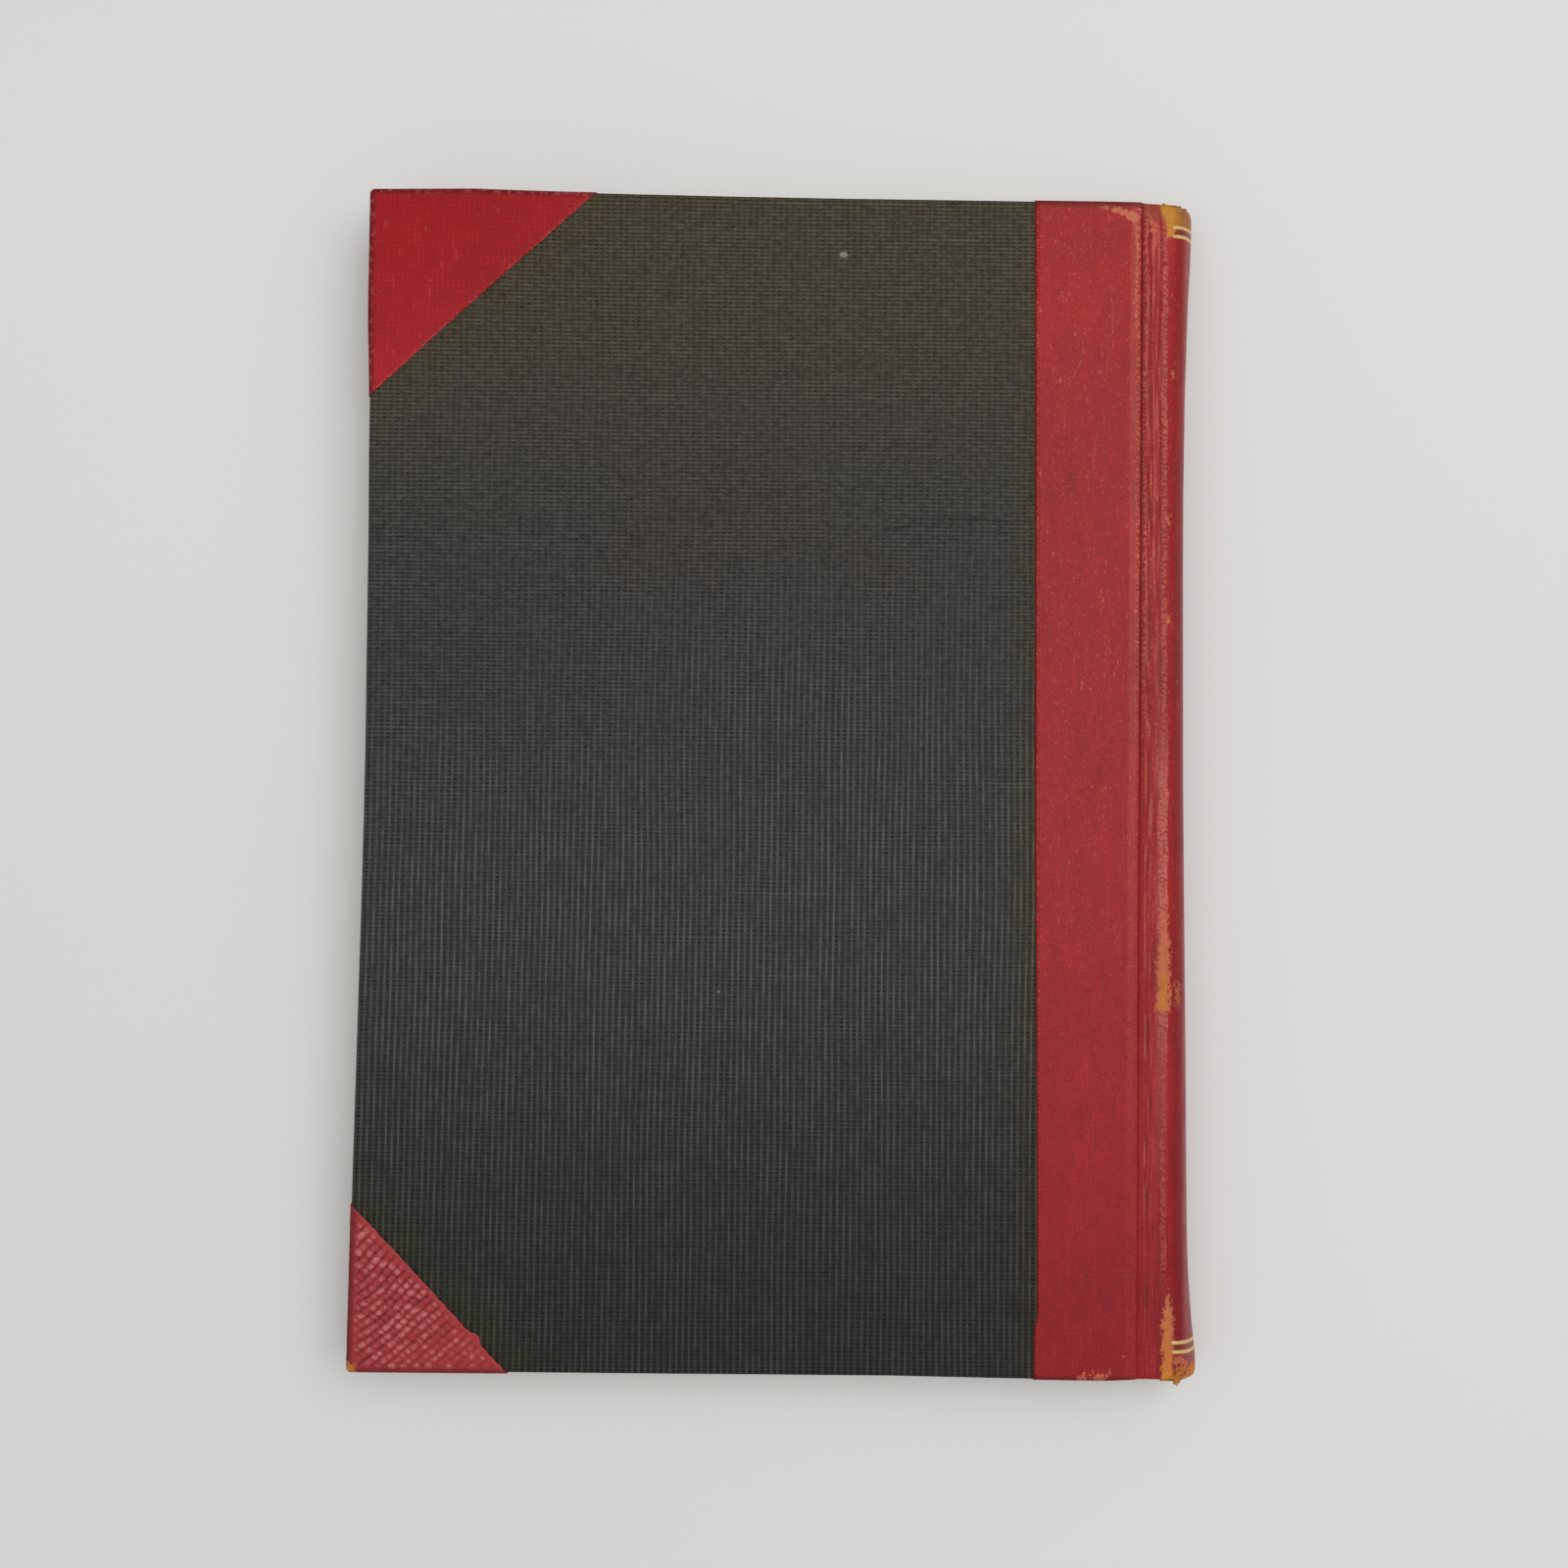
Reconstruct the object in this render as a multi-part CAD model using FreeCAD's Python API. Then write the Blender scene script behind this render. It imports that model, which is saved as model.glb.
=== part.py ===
# Half-bound hardback book lying on its front cover: +X to the spine, +Y to the head, +Z up.
# A section across the spine is made of outlines that run round the pages at given offsets.
import FreeCAD, Part
import math
import os

# ---- overall, mm
COVER_WIDTH = 147.1
COVER_HEIGHT = 222.0
BOARD = 2.0
SQUARE = 3.0
JOINT_WIDTH = 4.4

# ---- sheet thicknesses, mm
LEATHER = 0.5
CLOTH = 0.35
TURN_IN = 0.3
PASTEDOWN = 0.15
COVER_CLEARANCE = 0.1
FLYLEAF = 0.15
PAGES = 7.6
LINING = 0.3
INLAY = 0.4
HOLLOW = 0.3

# ---- backing and round of the pages, mm
SHOULDER_HALF = 5.2
SLOPE_LENGTH = 3.6
ROUND_RISE = 3.3
FORE_EDGE_DIP = 2.4

# ---- spine ends, mm: distance from the end, share of the flare, drop of the rounded cap
HEAD_FLARE = 1.3
TAIL_FLARE = 2.4
STATIONS = ((35.0, 0.0, 0.0), (16.0, 0.35, 0.0), (3.0, 1.0, 0.0),
            (1.2, 1.0, 0.2), (0.35, 1.0, 0.7), (0.0, 1.0, 1.3))
INLAY_STATIONS = 3
CAP_LENGTH = 8.0
SPINE_BAND_START = 0.6

# ---- cover materials, mm
TURN_IN_WIDTH = 15.0
PASTEDOWN_MARGIN = 3.5
MULL_WIDTH = 25.0
MULL_MARGIN = 17.0
SIDING_WIDTH = 20.2
HEAD_CORNER = (43.4, 39.5)
TAIL_CORNER = (30.4, 30.3)
CORNER_RADIUS = 0.9
EDGE_RADIUS = 0.35

# ---- gilt lines, mm from the spine's ends
HEAD_GILT = (4.4, 6.15)
TAIL_GILT = (5.1, 6.8)
GILT_WIDTH = 0.5
GILT_DEPTH = 0.1
GILT_INSET = 1.4

# ---- sewing and end bands, mm
TAPE_WIDTH = 12.0
TAPE_DEPTH = 0.3
TAPE_POSITIONS = (-62.0, 0.0, 62.0)
BAND_THICKNESS = 1.4
BAND_HEIGHT = 2.2
BAND_HALF = 4.2

# ---- hinges of the covers, mm
HINGE_BEYOND_SHOULDER = 1.0
STRIP_GAP = 0.35

# ---- sizes that follow
STACK = LEATHER + BOARD + TURN_IN + PASTEDOWN
THICKNESS = PAGES + 2 * (FLYLEAF + COVER_CLEARANCE + STACK)
MID = THICKNESS / 2
HALF_HEIGHT = COVER_HEIGHT / 2
PAGE_HALF = HALF_HEIGHT - SQUARE
SPINE_LAYERS = LINING + HOLLOW + INLAY + LEATHER
OVERALL = COVER_WIDTH + JOINT_WIDTH + ROUND_RISE + SPINE_LAYERS + TAIL_FLARE
FORE_EDGE = -OVERALL / 2
BOARD_END = FORE_EDGE + COVER_WIDTH
SHOULDER = BOARD_END + JOINT_WIDTH
ROUND_RADIUS = (SHOULDER_HALF ** 2 + ROUND_RISE ** 2) / (2 * ROUND_RISE)
ROUND_CENTRE = SHOULDER + ROUND_RISE - ROUND_RADIUS
SLOPE_START = SHOULDER - SLOPE_LENGTH
SLOPE_RISE = SHOULDER_HALF - PAGES / 2
SLOPE_RADIUS = (SLOPE_LENGTH ** 2 + SLOPE_RISE ** 2) / (2 * SLOPE_RISE)
SLOPE_CENTRE = PAGES / 2 + SLOPE_RADIUS
HINGE_X = SHOULDER + HINGE_BEYOND_SHOULDER
HINGE_Z = THICKNESS - STACK / 2
STRIP_REACH = HINGE_X - BOARD_END - STRIP_GAP
STRIP_FACE = FLYLEAF + LINING
FAR = 2 * OVERALL


def vec(x, y, z):
    return FreeCAD.Vector(x, y, z)


def box(x0, x1, y0, y1, z0, z1):
    return Part.makeBox(x1 - x0, y1 - y0, z1 - z0, vec(x0, y0, z0))


def ridge(face, spine):
    """Where an offset slope arc meets an offset round: distance past the middle in X and Z."""
    r_slope = SLOPE_RADIUS - face
    r_round = ROUND_RADIUS + spine
    dx = SLOPE_START - ROUND_CENTRE
    gap = math.hypot(dx, SLOPE_CENTRE)
    along = (r_round ** 2 - r_slope ** 2 + gap ** 2) / (2 * gap)
    across = math.sqrt(r_round ** 2 - along ** 2)
    ex, ez = dx / gap, SLOPE_CENTRE / gap
    return ROUND_CENTRE + along * ex + across * ez, along * ez - across * ex


def slope_middle(face, end_x):
    """A point half way round the slope arc."""
    radius = SLOPE_RADIUS - face
    turn = math.asin((end_x - SLOPE_START) / radius) / 2
    return SLOPE_START + radius * math.sin(turn), SLOPE_CENTRE - radius * math.cos(turn)


def outline(y, face, spine, flare=0.0, left=FORE_EDGE, dip=0.0):
    """Closed outline round the pages: face offset, spine offset, outward flare of the crown."""
    half = PAGES / 2 + face
    rx, rz = ridge(face, spine)
    mx, mz = slope_middle(face, rx)
    crown = vec(ROUND_CENTRE + ROUND_RADIUS + spine + flare, y, MID)

    def at(x, z):
        return vec(x, y, MID + z)

    edges = [
        Part.LineSegment(at(left, -half), at(SLOPE_START, -half)).toShape(),
        Part.Arc(at(SLOPE_START, -half), at(mx, -mz), at(rx, -rz)).toShape(),
        Part.Arc(at(rx, -rz), crown, at(rx, rz)).toShape(),
        Part.Arc(at(rx, rz), at(mx, mz), at(SLOPE_START, half)).toShape(),
        Part.LineSegment(at(SLOPE_START, half), at(left, half)).toShape(),
    ]
    if dip:
        edges.append(Part.Arc(at(left, half), at(left + dip, 0), at(left, -half)).toShape())
    else:
        edges.append(Part.LineSegment(at(left, half), at(left, -half)).toShape())
    return Part.Wire(edges)


def prism(y0, y1, face, spine, left=FORE_EDGE, dip=0.0):
    wire = outline(y0, face, spine, 0.0, left, dip)
    return Part.Face(wire).extrude(vec(0, y1 - y0, 0))


def flared(face, spine, count):
    """Loft along the spine whose crown flares towards both ends."""
    wires = []
    for distance, share, drop in reversed(STATIONS[:count]):
        wires.append(outline(-HALF_HEIGHT + distance, face, spine, TAIL_FLARE * share - drop))
    for distance, share, drop in STATIONS[:count]:
        wires.append(outline(HALF_HEIGHT - distance, face, spine, HEAD_FLARE * share - drop))
    return Part.makeLoft(wires, True, True)


def beyond(x):
    return box(x, FAR, -FAR, FAR, -FAR, FAR)


def band(y0, y1):
    return box(-FAR, FAR, y0, y1, -FAR, FAR)


def mirrored(shape):
    return shape.mirror(vec(0, 0, MID), vec(0, 0, 1))


def strip_zone():
    """Space near the hinges that stays with the pages when a cover opens."""
    rods = [Part.makeCylinder(STRIP_REACH, FAR, vec(HINGE_X, -OVERALL, z), vec(0, 1, 0))
            for z in (HINGE_Z, THICKNESS - HINGE_Z)]
    return beyond(SHOULDER).fuse(rods[0]).fuse(rods[1])


# ---- pages, flyleaves, tapes, lining and end bands
def make_tapes():
    skin = prism(-PAGE_HALF, PAGE_HALF, 0, 0).cut(prism(-PAGE_HALF, PAGE_HALF, 0, -TAPE_DEPTH))
    skin = skin.common(beyond(SHOULDER + TAPE_DEPTH))
    return [skin.common(band(y - TAPE_WIDTH / 2, y + TAPE_WIDTH / 2)) for y in TAPE_POSITIONS]


def make_pages(tapes):
    pages = prism(-PAGE_HALF, PAGE_HALF, 0, 0, FORE_EDGE + SQUARE, FORE_EDGE_DIP)
    for tape in tapes:
        pages = pages.cut(tape)
    return pages


def make_flyleaf():
    both = prism(-PAGE_HALF, PAGE_HALF, FLYLEAF, 0, FORE_EDGE + SQUARE)
    both = both.cut(prism(-PAGE_HALF, PAGE_HALF, 0, 0, FORE_EDGE + SQUARE))
    return both.common(box(-FAR, FAR, -FAR, FAR, MID, FAR))


def make_lining():
    lining = prism(-PAGE_HALF, PAGE_HALF, STRIP_FACE, LINING)
    lining = lining.cut(prism(-PAGE_HALF, PAGE_HALF, FLYLEAF, 0))
    return lining.common(strip_zone())


def make_end_band(y0, y1):
    roll = prism(y0, y1, 0, 0).cut(prism(y0, y1, 0, -BAND_THICKNESS))
    return roll.common(box(SHOULDER, FAR, -FAR, FAR, MID - BAND_HALF, MID + BAND_HALF))


# ---- hollow spine
def make_inlay():
    outer = flared(STRIP_FACE, SPINE_LAYERS - LEATHER, INLAY_STATIONS)
    inner = flared(STRIP_FACE, SPINE_LAYERS - LEATHER - INLAY, INLAY_STATIONS)
    return outer.cut(inner).common(beyond(SHOULDER + SPINE_BAND_START))


def make_hollow():
    room = flared(STRIP_FACE, SPINE_LAYERS - LEATHER - INLAY, INLAY_STATIONS)
    room = room.common(beyond(SHOULDER + SPINE_BAND_START))
    return room.common(band(-HALF_HEIGHT + CAP_LENGTH, HALF_HEIGHT - CAP_LENGTH))


def make_spine_leather(inlay, gilt):
    leather = flared(STRIP_FACE + LEATHER, SPINE_LAYERS, len(STATIONS))
    leather = leather.cut(prism(-HALF_HEIGHT, HALF_HEIGHT, STRIP_FACE, LINING))
    leather = leather.cut(inlay).cut(make_hollow()).common(strip_zone())
    for line in gilt.values():
        leather = leather.cut(line)
    return leather


def make_gilt():
    count = len(STATIONS)
    skin = flared(STRIP_FACE + LEATHER, SPINE_LAYERS, count)
    skin = skin.cut(flared(STRIP_FACE + LEATHER, SPINE_LAYERS - GILT_DEPTH, count))
    skin = skin.common(beyond(SHOULDER + GILT_INSET))
    places = {
        "head_gilt_line_outer": HALF_HEIGHT - HEAD_GILT[0],
        "head_gilt_line_inner": HALF_HEIGHT - HEAD_GILT[1],
        "tail_gilt_line_outer": -HALF_HEIGHT + TAIL_GILT[0],
        "tail_gilt_line_inner": -HALF_HEIGHT + TAIL_GILT[1],
    }
    half = GILT_WIDTH / 2
    return {name: skin.common(band(y - half, y + half)) for name, y in places.items()}


# ---- one cover, made as the back cover
TURN_LEVEL = THICKNESS - LEATHER - BOARD
INNER_LEVEL = TURN_LEVEL - TURN_IN


def case(inset):
    """Covered cover, set in by the given amount from the leather's faces."""
    shape = box(FORE_EDGE + inset, BOARD_END - inset, -HALF_HEIGHT + inset, HALF_HEIGHT - inset,
                INNER_LEVEL, THICKNESS - inset)
    upright = [e for e in shape.Edges if e.Vertexes[0].Z != e.Vertexes[1].Z]
    shape = shape.makeFillet(CORNER_RADIUS, upright)
    rim = [e for e in shape.Edges if e.BoundBox.ZMin > MID and e.BoundBox.ZLength < EDGE_RADIUS
           and e.BoundBox.ZMax > TURN_LEVEL + EDGE_RADIUS]
    return shape.makeFillet(EDGE_RADIUS, rim)


def corner_zone(size, side):
    """Upright prism over one leather corner; side is +1 at the head and -1 at the tail."""
    y = side * HALF_HEIGHT
    reach_x, reach_y = size
    corner = [vec(FORE_EDGE, y, INNER_LEVEL), vec(FORE_EDGE + reach_x, y, INNER_LEVEL),
              vec(FORE_EDGE, y - side * reach_y, INNER_LEVEL)]
    face = Part.Face(Part.makePolygon(corner + corner[:1]))
    return face.extrude(vec(0, 0, THICKNESS))


def make_cover():
    edge = LEATHER
    board = box(FORE_EDGE + edge, BOARD_END - edge, -HALF_HEIGHT + edge, HALF_HEIGHT - edge,
                TURN_LEVEL, THICKNESS - LEATHER)
    inner = box(FORE_EDGE + TURN_IN_WIDTH, BOARD_END - LEATHER,
                -HALF_HEIGHT + TURN_IN_WIDTH, HALF_HEIGHT - TURN_IN_WIDTH, INNER_LEVEL, TURN_LEVEL)
    border = BOARD_END - SIDING_WIDTH
    leather = case(0).cut(board).cut(inner)
    head_zone = corner_zone(HEAD_CORNER, 1)
    tail_zone = corner_zone(TAIL_CORNER, -1)
    siding_zone = beyond(border)
    cloth = case(LEATHER - CLOTH).cut(board).cut(inner)
    mull_half = HALF_HEIGHT - MULL_MARGIN
    mull = box(BOARD_END - LEATHER - MULL_WIDTH, BOARD_END - LEATHER, -mull_half, mull_half,
               INNER_LEVEL, TURN_LEVEL)
    paste_half = HALF_HEIGHT - PASTEDOWN_MARGIN
    pastedown = box(FORE_EDGE + PASTEDOWN_MARGIN, BOARD_END - LEATHER, -paste_half, paste_half,
                    INNER_LEVEL - PASTEDOWN, INNER_LEVEL)
    return {
        "board": board,
        "cloth_side": cloth.cut(head_zone).cut(tail_zone).cut(siding_zone),
        "head_corner": leather.common(head_zone),
        "tail_corner": leather.common(tail_zone),
        "spine_siding": leather.common(siding_zone),
        "mull_flange": mull,
        "infill": inner.cut(mull),
        "pastedown": pastedown,
    }


# ---- all the pieces
def make_parts():
    tapes = make_tapes()
    gilt = make_gilt()
    inlay = make_inlay()
    flyleaf = make_flyleaf()
    parts = {"text_block": make_pages(tapes)}
    parts["back_flyleaf"] = flyleaf
    parts["front_flyleaf"] = mirrored(flyleaf)
    for number, tape in enumerate(tapes, 1):
        parts[f"sewing_tape_{number}"] = tape
    parts["spine_lining"] = make_lining()
    parts["spine_inlay"] = inlay
    parts["spine_leather"] = make_spine_leather(inlay, gilt)
    parts.update(gilt)
    parts["head_band"] = make_end_band(PAGE_HALF, PAGE_HALF + BAND_HEIGHT)
    parts["tail_band"] = make_end_band(-PAGE_HALF - BAND_HEIGHT, -PAGE_HALF)
    for name, shape in make_cover().items():
        parts["back_" + name] = shape
        parts["front_" + name] = mirrored(shape)
    return parts


os.makedirs("parts", exist_ok=True)
for name, shape in make_parts().items():
    shape.exportStep(f"parts/{name}.step")
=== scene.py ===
import math
from functools import reduce

import bmesh
import bpy
from mathutils import Matrix, Vector, noise


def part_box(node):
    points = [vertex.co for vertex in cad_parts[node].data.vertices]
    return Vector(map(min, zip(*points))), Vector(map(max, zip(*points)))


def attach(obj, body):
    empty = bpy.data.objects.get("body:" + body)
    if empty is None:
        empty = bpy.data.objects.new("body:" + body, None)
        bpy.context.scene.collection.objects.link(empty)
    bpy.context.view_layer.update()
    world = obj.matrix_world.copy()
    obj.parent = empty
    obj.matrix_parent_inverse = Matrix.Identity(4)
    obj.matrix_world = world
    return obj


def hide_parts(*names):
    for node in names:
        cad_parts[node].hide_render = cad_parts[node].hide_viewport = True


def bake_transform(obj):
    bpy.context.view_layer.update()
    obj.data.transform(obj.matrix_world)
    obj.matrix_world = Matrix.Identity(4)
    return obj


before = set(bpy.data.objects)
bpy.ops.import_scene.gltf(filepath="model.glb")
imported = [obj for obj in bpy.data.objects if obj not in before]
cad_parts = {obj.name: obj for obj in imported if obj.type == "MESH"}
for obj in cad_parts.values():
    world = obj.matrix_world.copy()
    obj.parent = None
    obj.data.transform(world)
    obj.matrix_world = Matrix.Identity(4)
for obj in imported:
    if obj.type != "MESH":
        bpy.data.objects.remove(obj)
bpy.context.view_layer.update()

# Sizes are in mm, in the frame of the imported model, unless a name says otherwise
MM = 0.001


def box_mm(node):
    """Lowest and highest corner of a CAD node in mm."""
    low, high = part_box(node)
    return Vector(low) / MM, Vector(high) / MM


SIDING_LOW, SIDING_HIGH = box_mm("back_spine_siding")
HEAD_CORNER_LOW, HEAD_CORNER_HIGH = box_mm("back_head_corner")
TAIL_CORNER_LOW, TAIL_CORNER_HIGH = box_mm("back_tail_corner")
PASTE_LOW, PASTE_HIGH = box_mm("back_pastedown")
INFILL_LOW, INFILL_HIGH = box_mm("back_infill")
BLOCK_LOW, BLOCK_HIGH = box_mm("text_block")
LEAF_HIGH = box_mm("back_flyleaf")[1]
LINING_LOW, LINING_HIGH = box_mm("spine_lining")
SPINE_HIGH = box_mm("spine_leather")[1]
BAND_HIGH = box_mm("head_band")[1]

# Fore-edge and spine edge of the boards, half the height, top face, middle, inner face of a board,
# edge of the leather siding on the cloth, shoulder of the block
FORE = HEAD_CORNER_LOW.x
END = SIDING_HIGH.x
HALF = SIDING_HIGH.y
TOP = SIDING_HIGH.z
MID = TOP / 2
INNER = SIDING_LOW.z
BORDER = SIDING_LOW.x
SHOULDER = LEAF_HIGH.x

# Spine and coverings
TAIL_FLARE = 2.4
CROWN = SPINE_HIGH.x - TAIL_FLARE
CAP_ROUNDING = 2.2
HEAD_CAP_DROP = 0.45
TAIL_CAP_DROP = 0.2
TAIL_CAP_EXTRA = 0.2
EDGE_ROUND = 0.32
LEATHER = 0.45
CLOTH_SKIN = 0.32
CLOTH_INSET = 0.15
CLOTH_UNDER_LEATHER = 0.8
CLOTH_UNDER_SIDING = 2.4
GROOVE_PATH = ((0.22, -0.62), (0.55, -0.85), (1.1, -0.72), (2.0, -0.5), (3.0, -0.36), (3.8, -0.26))
GROOVE_AT_TAIL = 0.45
GROOVE_AT_HEAD = 0.5
RIDGE_PAST_END = 4.5
RIDGE_DROP = 0.2
TURN_IN = 15.0
CAP_TURN_IN = 7.0
EDGE_END_ROUND = 0.5
CAP_END_ROUND = 0.75
END_MARGIN = 0.9
SPINE_ROWS = 560
PREFIX = {1: "back", -1: "front"}

# How far the book in the photo strays from straight, as (place, shift) along y or along x
CROWN_OUT = ((-111, 2.8), (-107, 2.6), (-101, 1.95), (-97, 1.65), (-92, 1.3), (-85, 1.08), (-73, 0.95),
             (-55, 0.82), (-36, 0.6), (-18, 0.4), (0, 0.22), (20, 0.17), (40, 0.12), (56, 0.15), (75, 0.4),
             (93, 0.95), (101, 1.38), (106, 1.52), (111, 1.65))
FORE_BOW = ((-111, -0.1), (-92, 0.03), (-73, 0.15), (-50, 0.37), (-27, 0.66), (-9, 0.76), (5, 0.81),
            (28, 0.67), (47, 0.54), (60, 0.3), (72, 0.25), (80, 0.0), (85, -0.22), (93, -0.3), (111, -0.33))
BORDER_SHIFT = ((-111, 0.46), (-102, 0.5), (-99, 1.05), (-60, 0.75), (-8, 0.2), (45, -0.09), (111, -0.42))
JOINT_SHIFT = ((-111, -0.6), (111, -0.2))
HEAD_RISE = ((-79, 0.45), (-60, 0.8), (-44, 0.5), (-27, 0.33), (-10, 0.2), (10, 0.1), (60, 0.1), (68, 0.05),
             (70, -0.2), (73, -0.4), (75.5, -0.1), (78, 0.05))
TAIL_SAG = ((22, 0.0), (39, 0.25), (57, 0.45), (62, 0.45), (68, 0.15), (73, 0.1), (77, 0.35))


def smooth(value, low, high):
    """0 at low, 1 at high, smooth between; low may be above high."""
    t = min(1.0, max(0.0, (value - low) / (high - low)))
    return t * t * (3 - 2 * t)


def mixed(a, b, t):
    return a + (b - a) * t


def linear(start, stop, count):
    return [mixed(start, stop, i / (count - 1)) for i in range(count)]


def between(value, nodes):
    """Straight-line reading of (place, amount) nodes."""
    value = min(nodes[-1][0], max(nodes[0][0], value))
    for (a, p), (b, q) in zip(nodes, nodes[1:]):
        if value <= b:
            return mixed(p, q, (value - a) / (b - a))


def settled(p, leather=False):
    """Where a point of the straight book lies on the slightly bowed and skewed one."""
    x, y, z = p
    dx = between(y, FORE_BOW) * (1 - smooth(x, FORE, FORE + 80))
    if leather:
        dx += between(y, BORDER_SHIFT) * (1 - smooth(x, BORDER, BORDER + 9))
        dx += between(y, JOINT_SHIFT) * smooth(x, END - 7, END - 1) * (1 - smooth(x, END + 0.6, END + 4))
    dy = between(x, HEAD_RISE) * smooth(y, 70, HALF) - between(x, TAIL_SAG) * smooth(-y, 85, HALF)
    return x + dx, y + dy, z


def wobble(x, y, z=0.0):
    return noise.noise(Vector((x, y, z)))


def catmull(points, per_span):
    """Points on a Catmull-Rom curve through the given points."""
    padded = [points[0], *points, points[-1]]
    out = []
    for a, b, c, d in zip(padded, padded[1:], padded[2:], padded[3:]):
        for i in range(per_span):
            t = i / per_span
            out.append(tuple(
                0.5 * (2 * q + (r - p) * t + (2 * p - 5 * q + 4 * r - s) * t * t
                       + (3 * q - p - 3 * r + s) * t ** 3)
                for p, q, r, s in zip(a, b, c, d)))
    out.append(tuple(points[-1]))
    return out


# Mesh helpers
def linked(name, data):
    """A new object with this data, linked to the scene."""
    obj = bpy.data.objects.new(name, data)
    bpy.context.scene.collection.objects.link(obj)
    return obj


def new_object(name, points, faces, places=None, relief=None):
    """A mesh object in metres from points in mm; 'place' keeps each point's rest place in mm."""
    mesh = bpy.data.meshes.new(name)
    mesh.from_pydata([tuple(c * MM for c in p) for p in points], [], faces)
    keep = mesh.attributes.new("place", "FLOAT_VECTOR", "POINT")
    keep.data.foreach_set("vector", [c for p in (places or points) for c in p])
    if relief:
        mesh.attributes.new("relief", "FLOAT", "POINT").data.foreach_set("value", relief)
    mesh.shade_smooth()
    return linked(name, mesh)


def grid_faces(rows, columns, flip=False):
    out = []
    for r in range(rows - 1):
        for c in range(columns - 1):
            a = r * columns + c
            quad = (a, a + 1, a + columns + 1, a + columns)
            out.append(quad[::-1] if flip else quad)
    return out


def thicken(obj, thickness):
    """Give an open sheet its thickness, inwards, and make that its mesh."""
    modifier = obj.modifiers.new("thickness", "SOLIDIFY")
    modifier.thickness = thickness * MM
    modifier.offset = -1
    graph = bpy.context.evaluated_depsgraph_get()
    mesh = bpy.data.meshes.new_from_object(obj.evaluated_get(graph))
    obj.modifiers.clear()
    obj.data = mesh
    mesh.shade_smooth()


def sheet(name, rows, thickness, places=None, flip=False):
    """A closed sheet from rows of points in mm that form its outer face."""
    points = [p for row in rows for p in row]
    obj = new_object(name, points, grid_faces(len(rows), len(rows[0]), flip), places)
    thicken(obj, thickness)
    return obj


def tube(name, path, radii, sides, places=None):
    """A closed round tube along a path in mm, with a radius for each point."""
    points, kept, faces = [], [], []
    for i, (centre, radius) in enumerate(zip(path, radii)):
        ahead = Vector(path[min(i + 1, len(path) - 1)]) - Vector(path[max(i - 1, 0)])
        across = ahead.normalized().cross(Vector((0, 1, 0.3))).normalized()
        up = ahead.normalized().cross(across)
        for k in range(sides):
            turn = 2 * math.pi * k / sides
            points.append(tuple(Vector(centre) + radius * (math.cos(turn) * across + math.sin(turn) * up)))
            kept.append(places[i] if places else points[-1])
    for i in range(len(path) - 1):
        for k in range(sides):
            a, b = i * sides + k, i * sides + (k + 1) % sides
            faces.append((a, b, b + sides, a + sides))
    last = (len(path) - 1) * sides
    faces.append(tuple(range(sides))[::-1])
    faces.append(tuple(range(last, last + sides)))
    return new_object(name, points, faces, kept)


# Spine leather: two sheets that meet on the crown, each bending across its joint
def flare(y):
    """How far the crown stands out at y, past its place in the middle of the spine."""
    from_end = HALF - abs(y)
    into = max(0.0, CAP_ROUNDING - max(0.0, from_end))
    drop = CAP_ROUNDING - math.sqrt(CAP_ROUNDING ** 2 - into ** 2)
    return between(y, CROWN_OUT) - (HEAD_CAP_DROP if y > 0 else TAIL_CAP_DROP) * drop


def spine_profile(y):
    """Outer face of the leather at y: (x, height over the middle) from the siding to the crown."""
    depth = mixed(GROOVE_AT_TAIL, 1.0, smooth(y, -95, -10)) * mixed(1.0, GROOVE_AT_HEAD, smooth(y, 103, HALF))
    fall = EDGE_ROUND * depth
    flat = [(x, MID) for x in linear(BORDER, END - EDGE_ROUND, 22)]
    turns = [math.pi / 2 * i / 6 for i in range(1, 6)]
    edge = [(END - EDGE_ROUND * (1 - math.sin(a)), MID - fall * (1 - math.cos(a))) for a in turns]
    ridge = (END + RIDGE_PAST_END, MID - RIDGE_DROP)
    groove = [(END, MID - fall)] + [(END + x, MID + z * depth) for x, z in GROOVE_PATH] + [ridge]
    path = catmull(groove, 5)
    crown = CROWN + flare(y)
    radius = ((crown - ridge[0]) ** 2 + ridge[1] ** 2) / (2 * (crown - ridge[0]))
    start = math.atan2(ridge[1], ridge[0] - (crown - radius))
    arc = [(crown - radius + radius * math.cos(a), radius * math.sin(a)) for a in linear(start, 0, 30)]
    points = flat + edge + path + arc[1:]
    first = len(flat) + len(edge) + len(path) - 9
    for _ in range(6):
        old = list(points)
        for i in range(first, first + 14):
            points[i] = tuple((old[i - 1][k] + 2 * old[i][k] + old[i + 1][k]) / 4 for k in (0, 1))
    return points


def profile_normals(points):
    out = []
    for i in range(len(points)):
        (x0, z0), (x1, z1) = points[max(0, i - 1)], points[min(len(points) - 1, i + 1)]
        length = math.hypot(x1 - x0, z1 - z0)
        out.append((-(z1 - z0) / length, (x1 - x0) / length))
    return out


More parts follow.
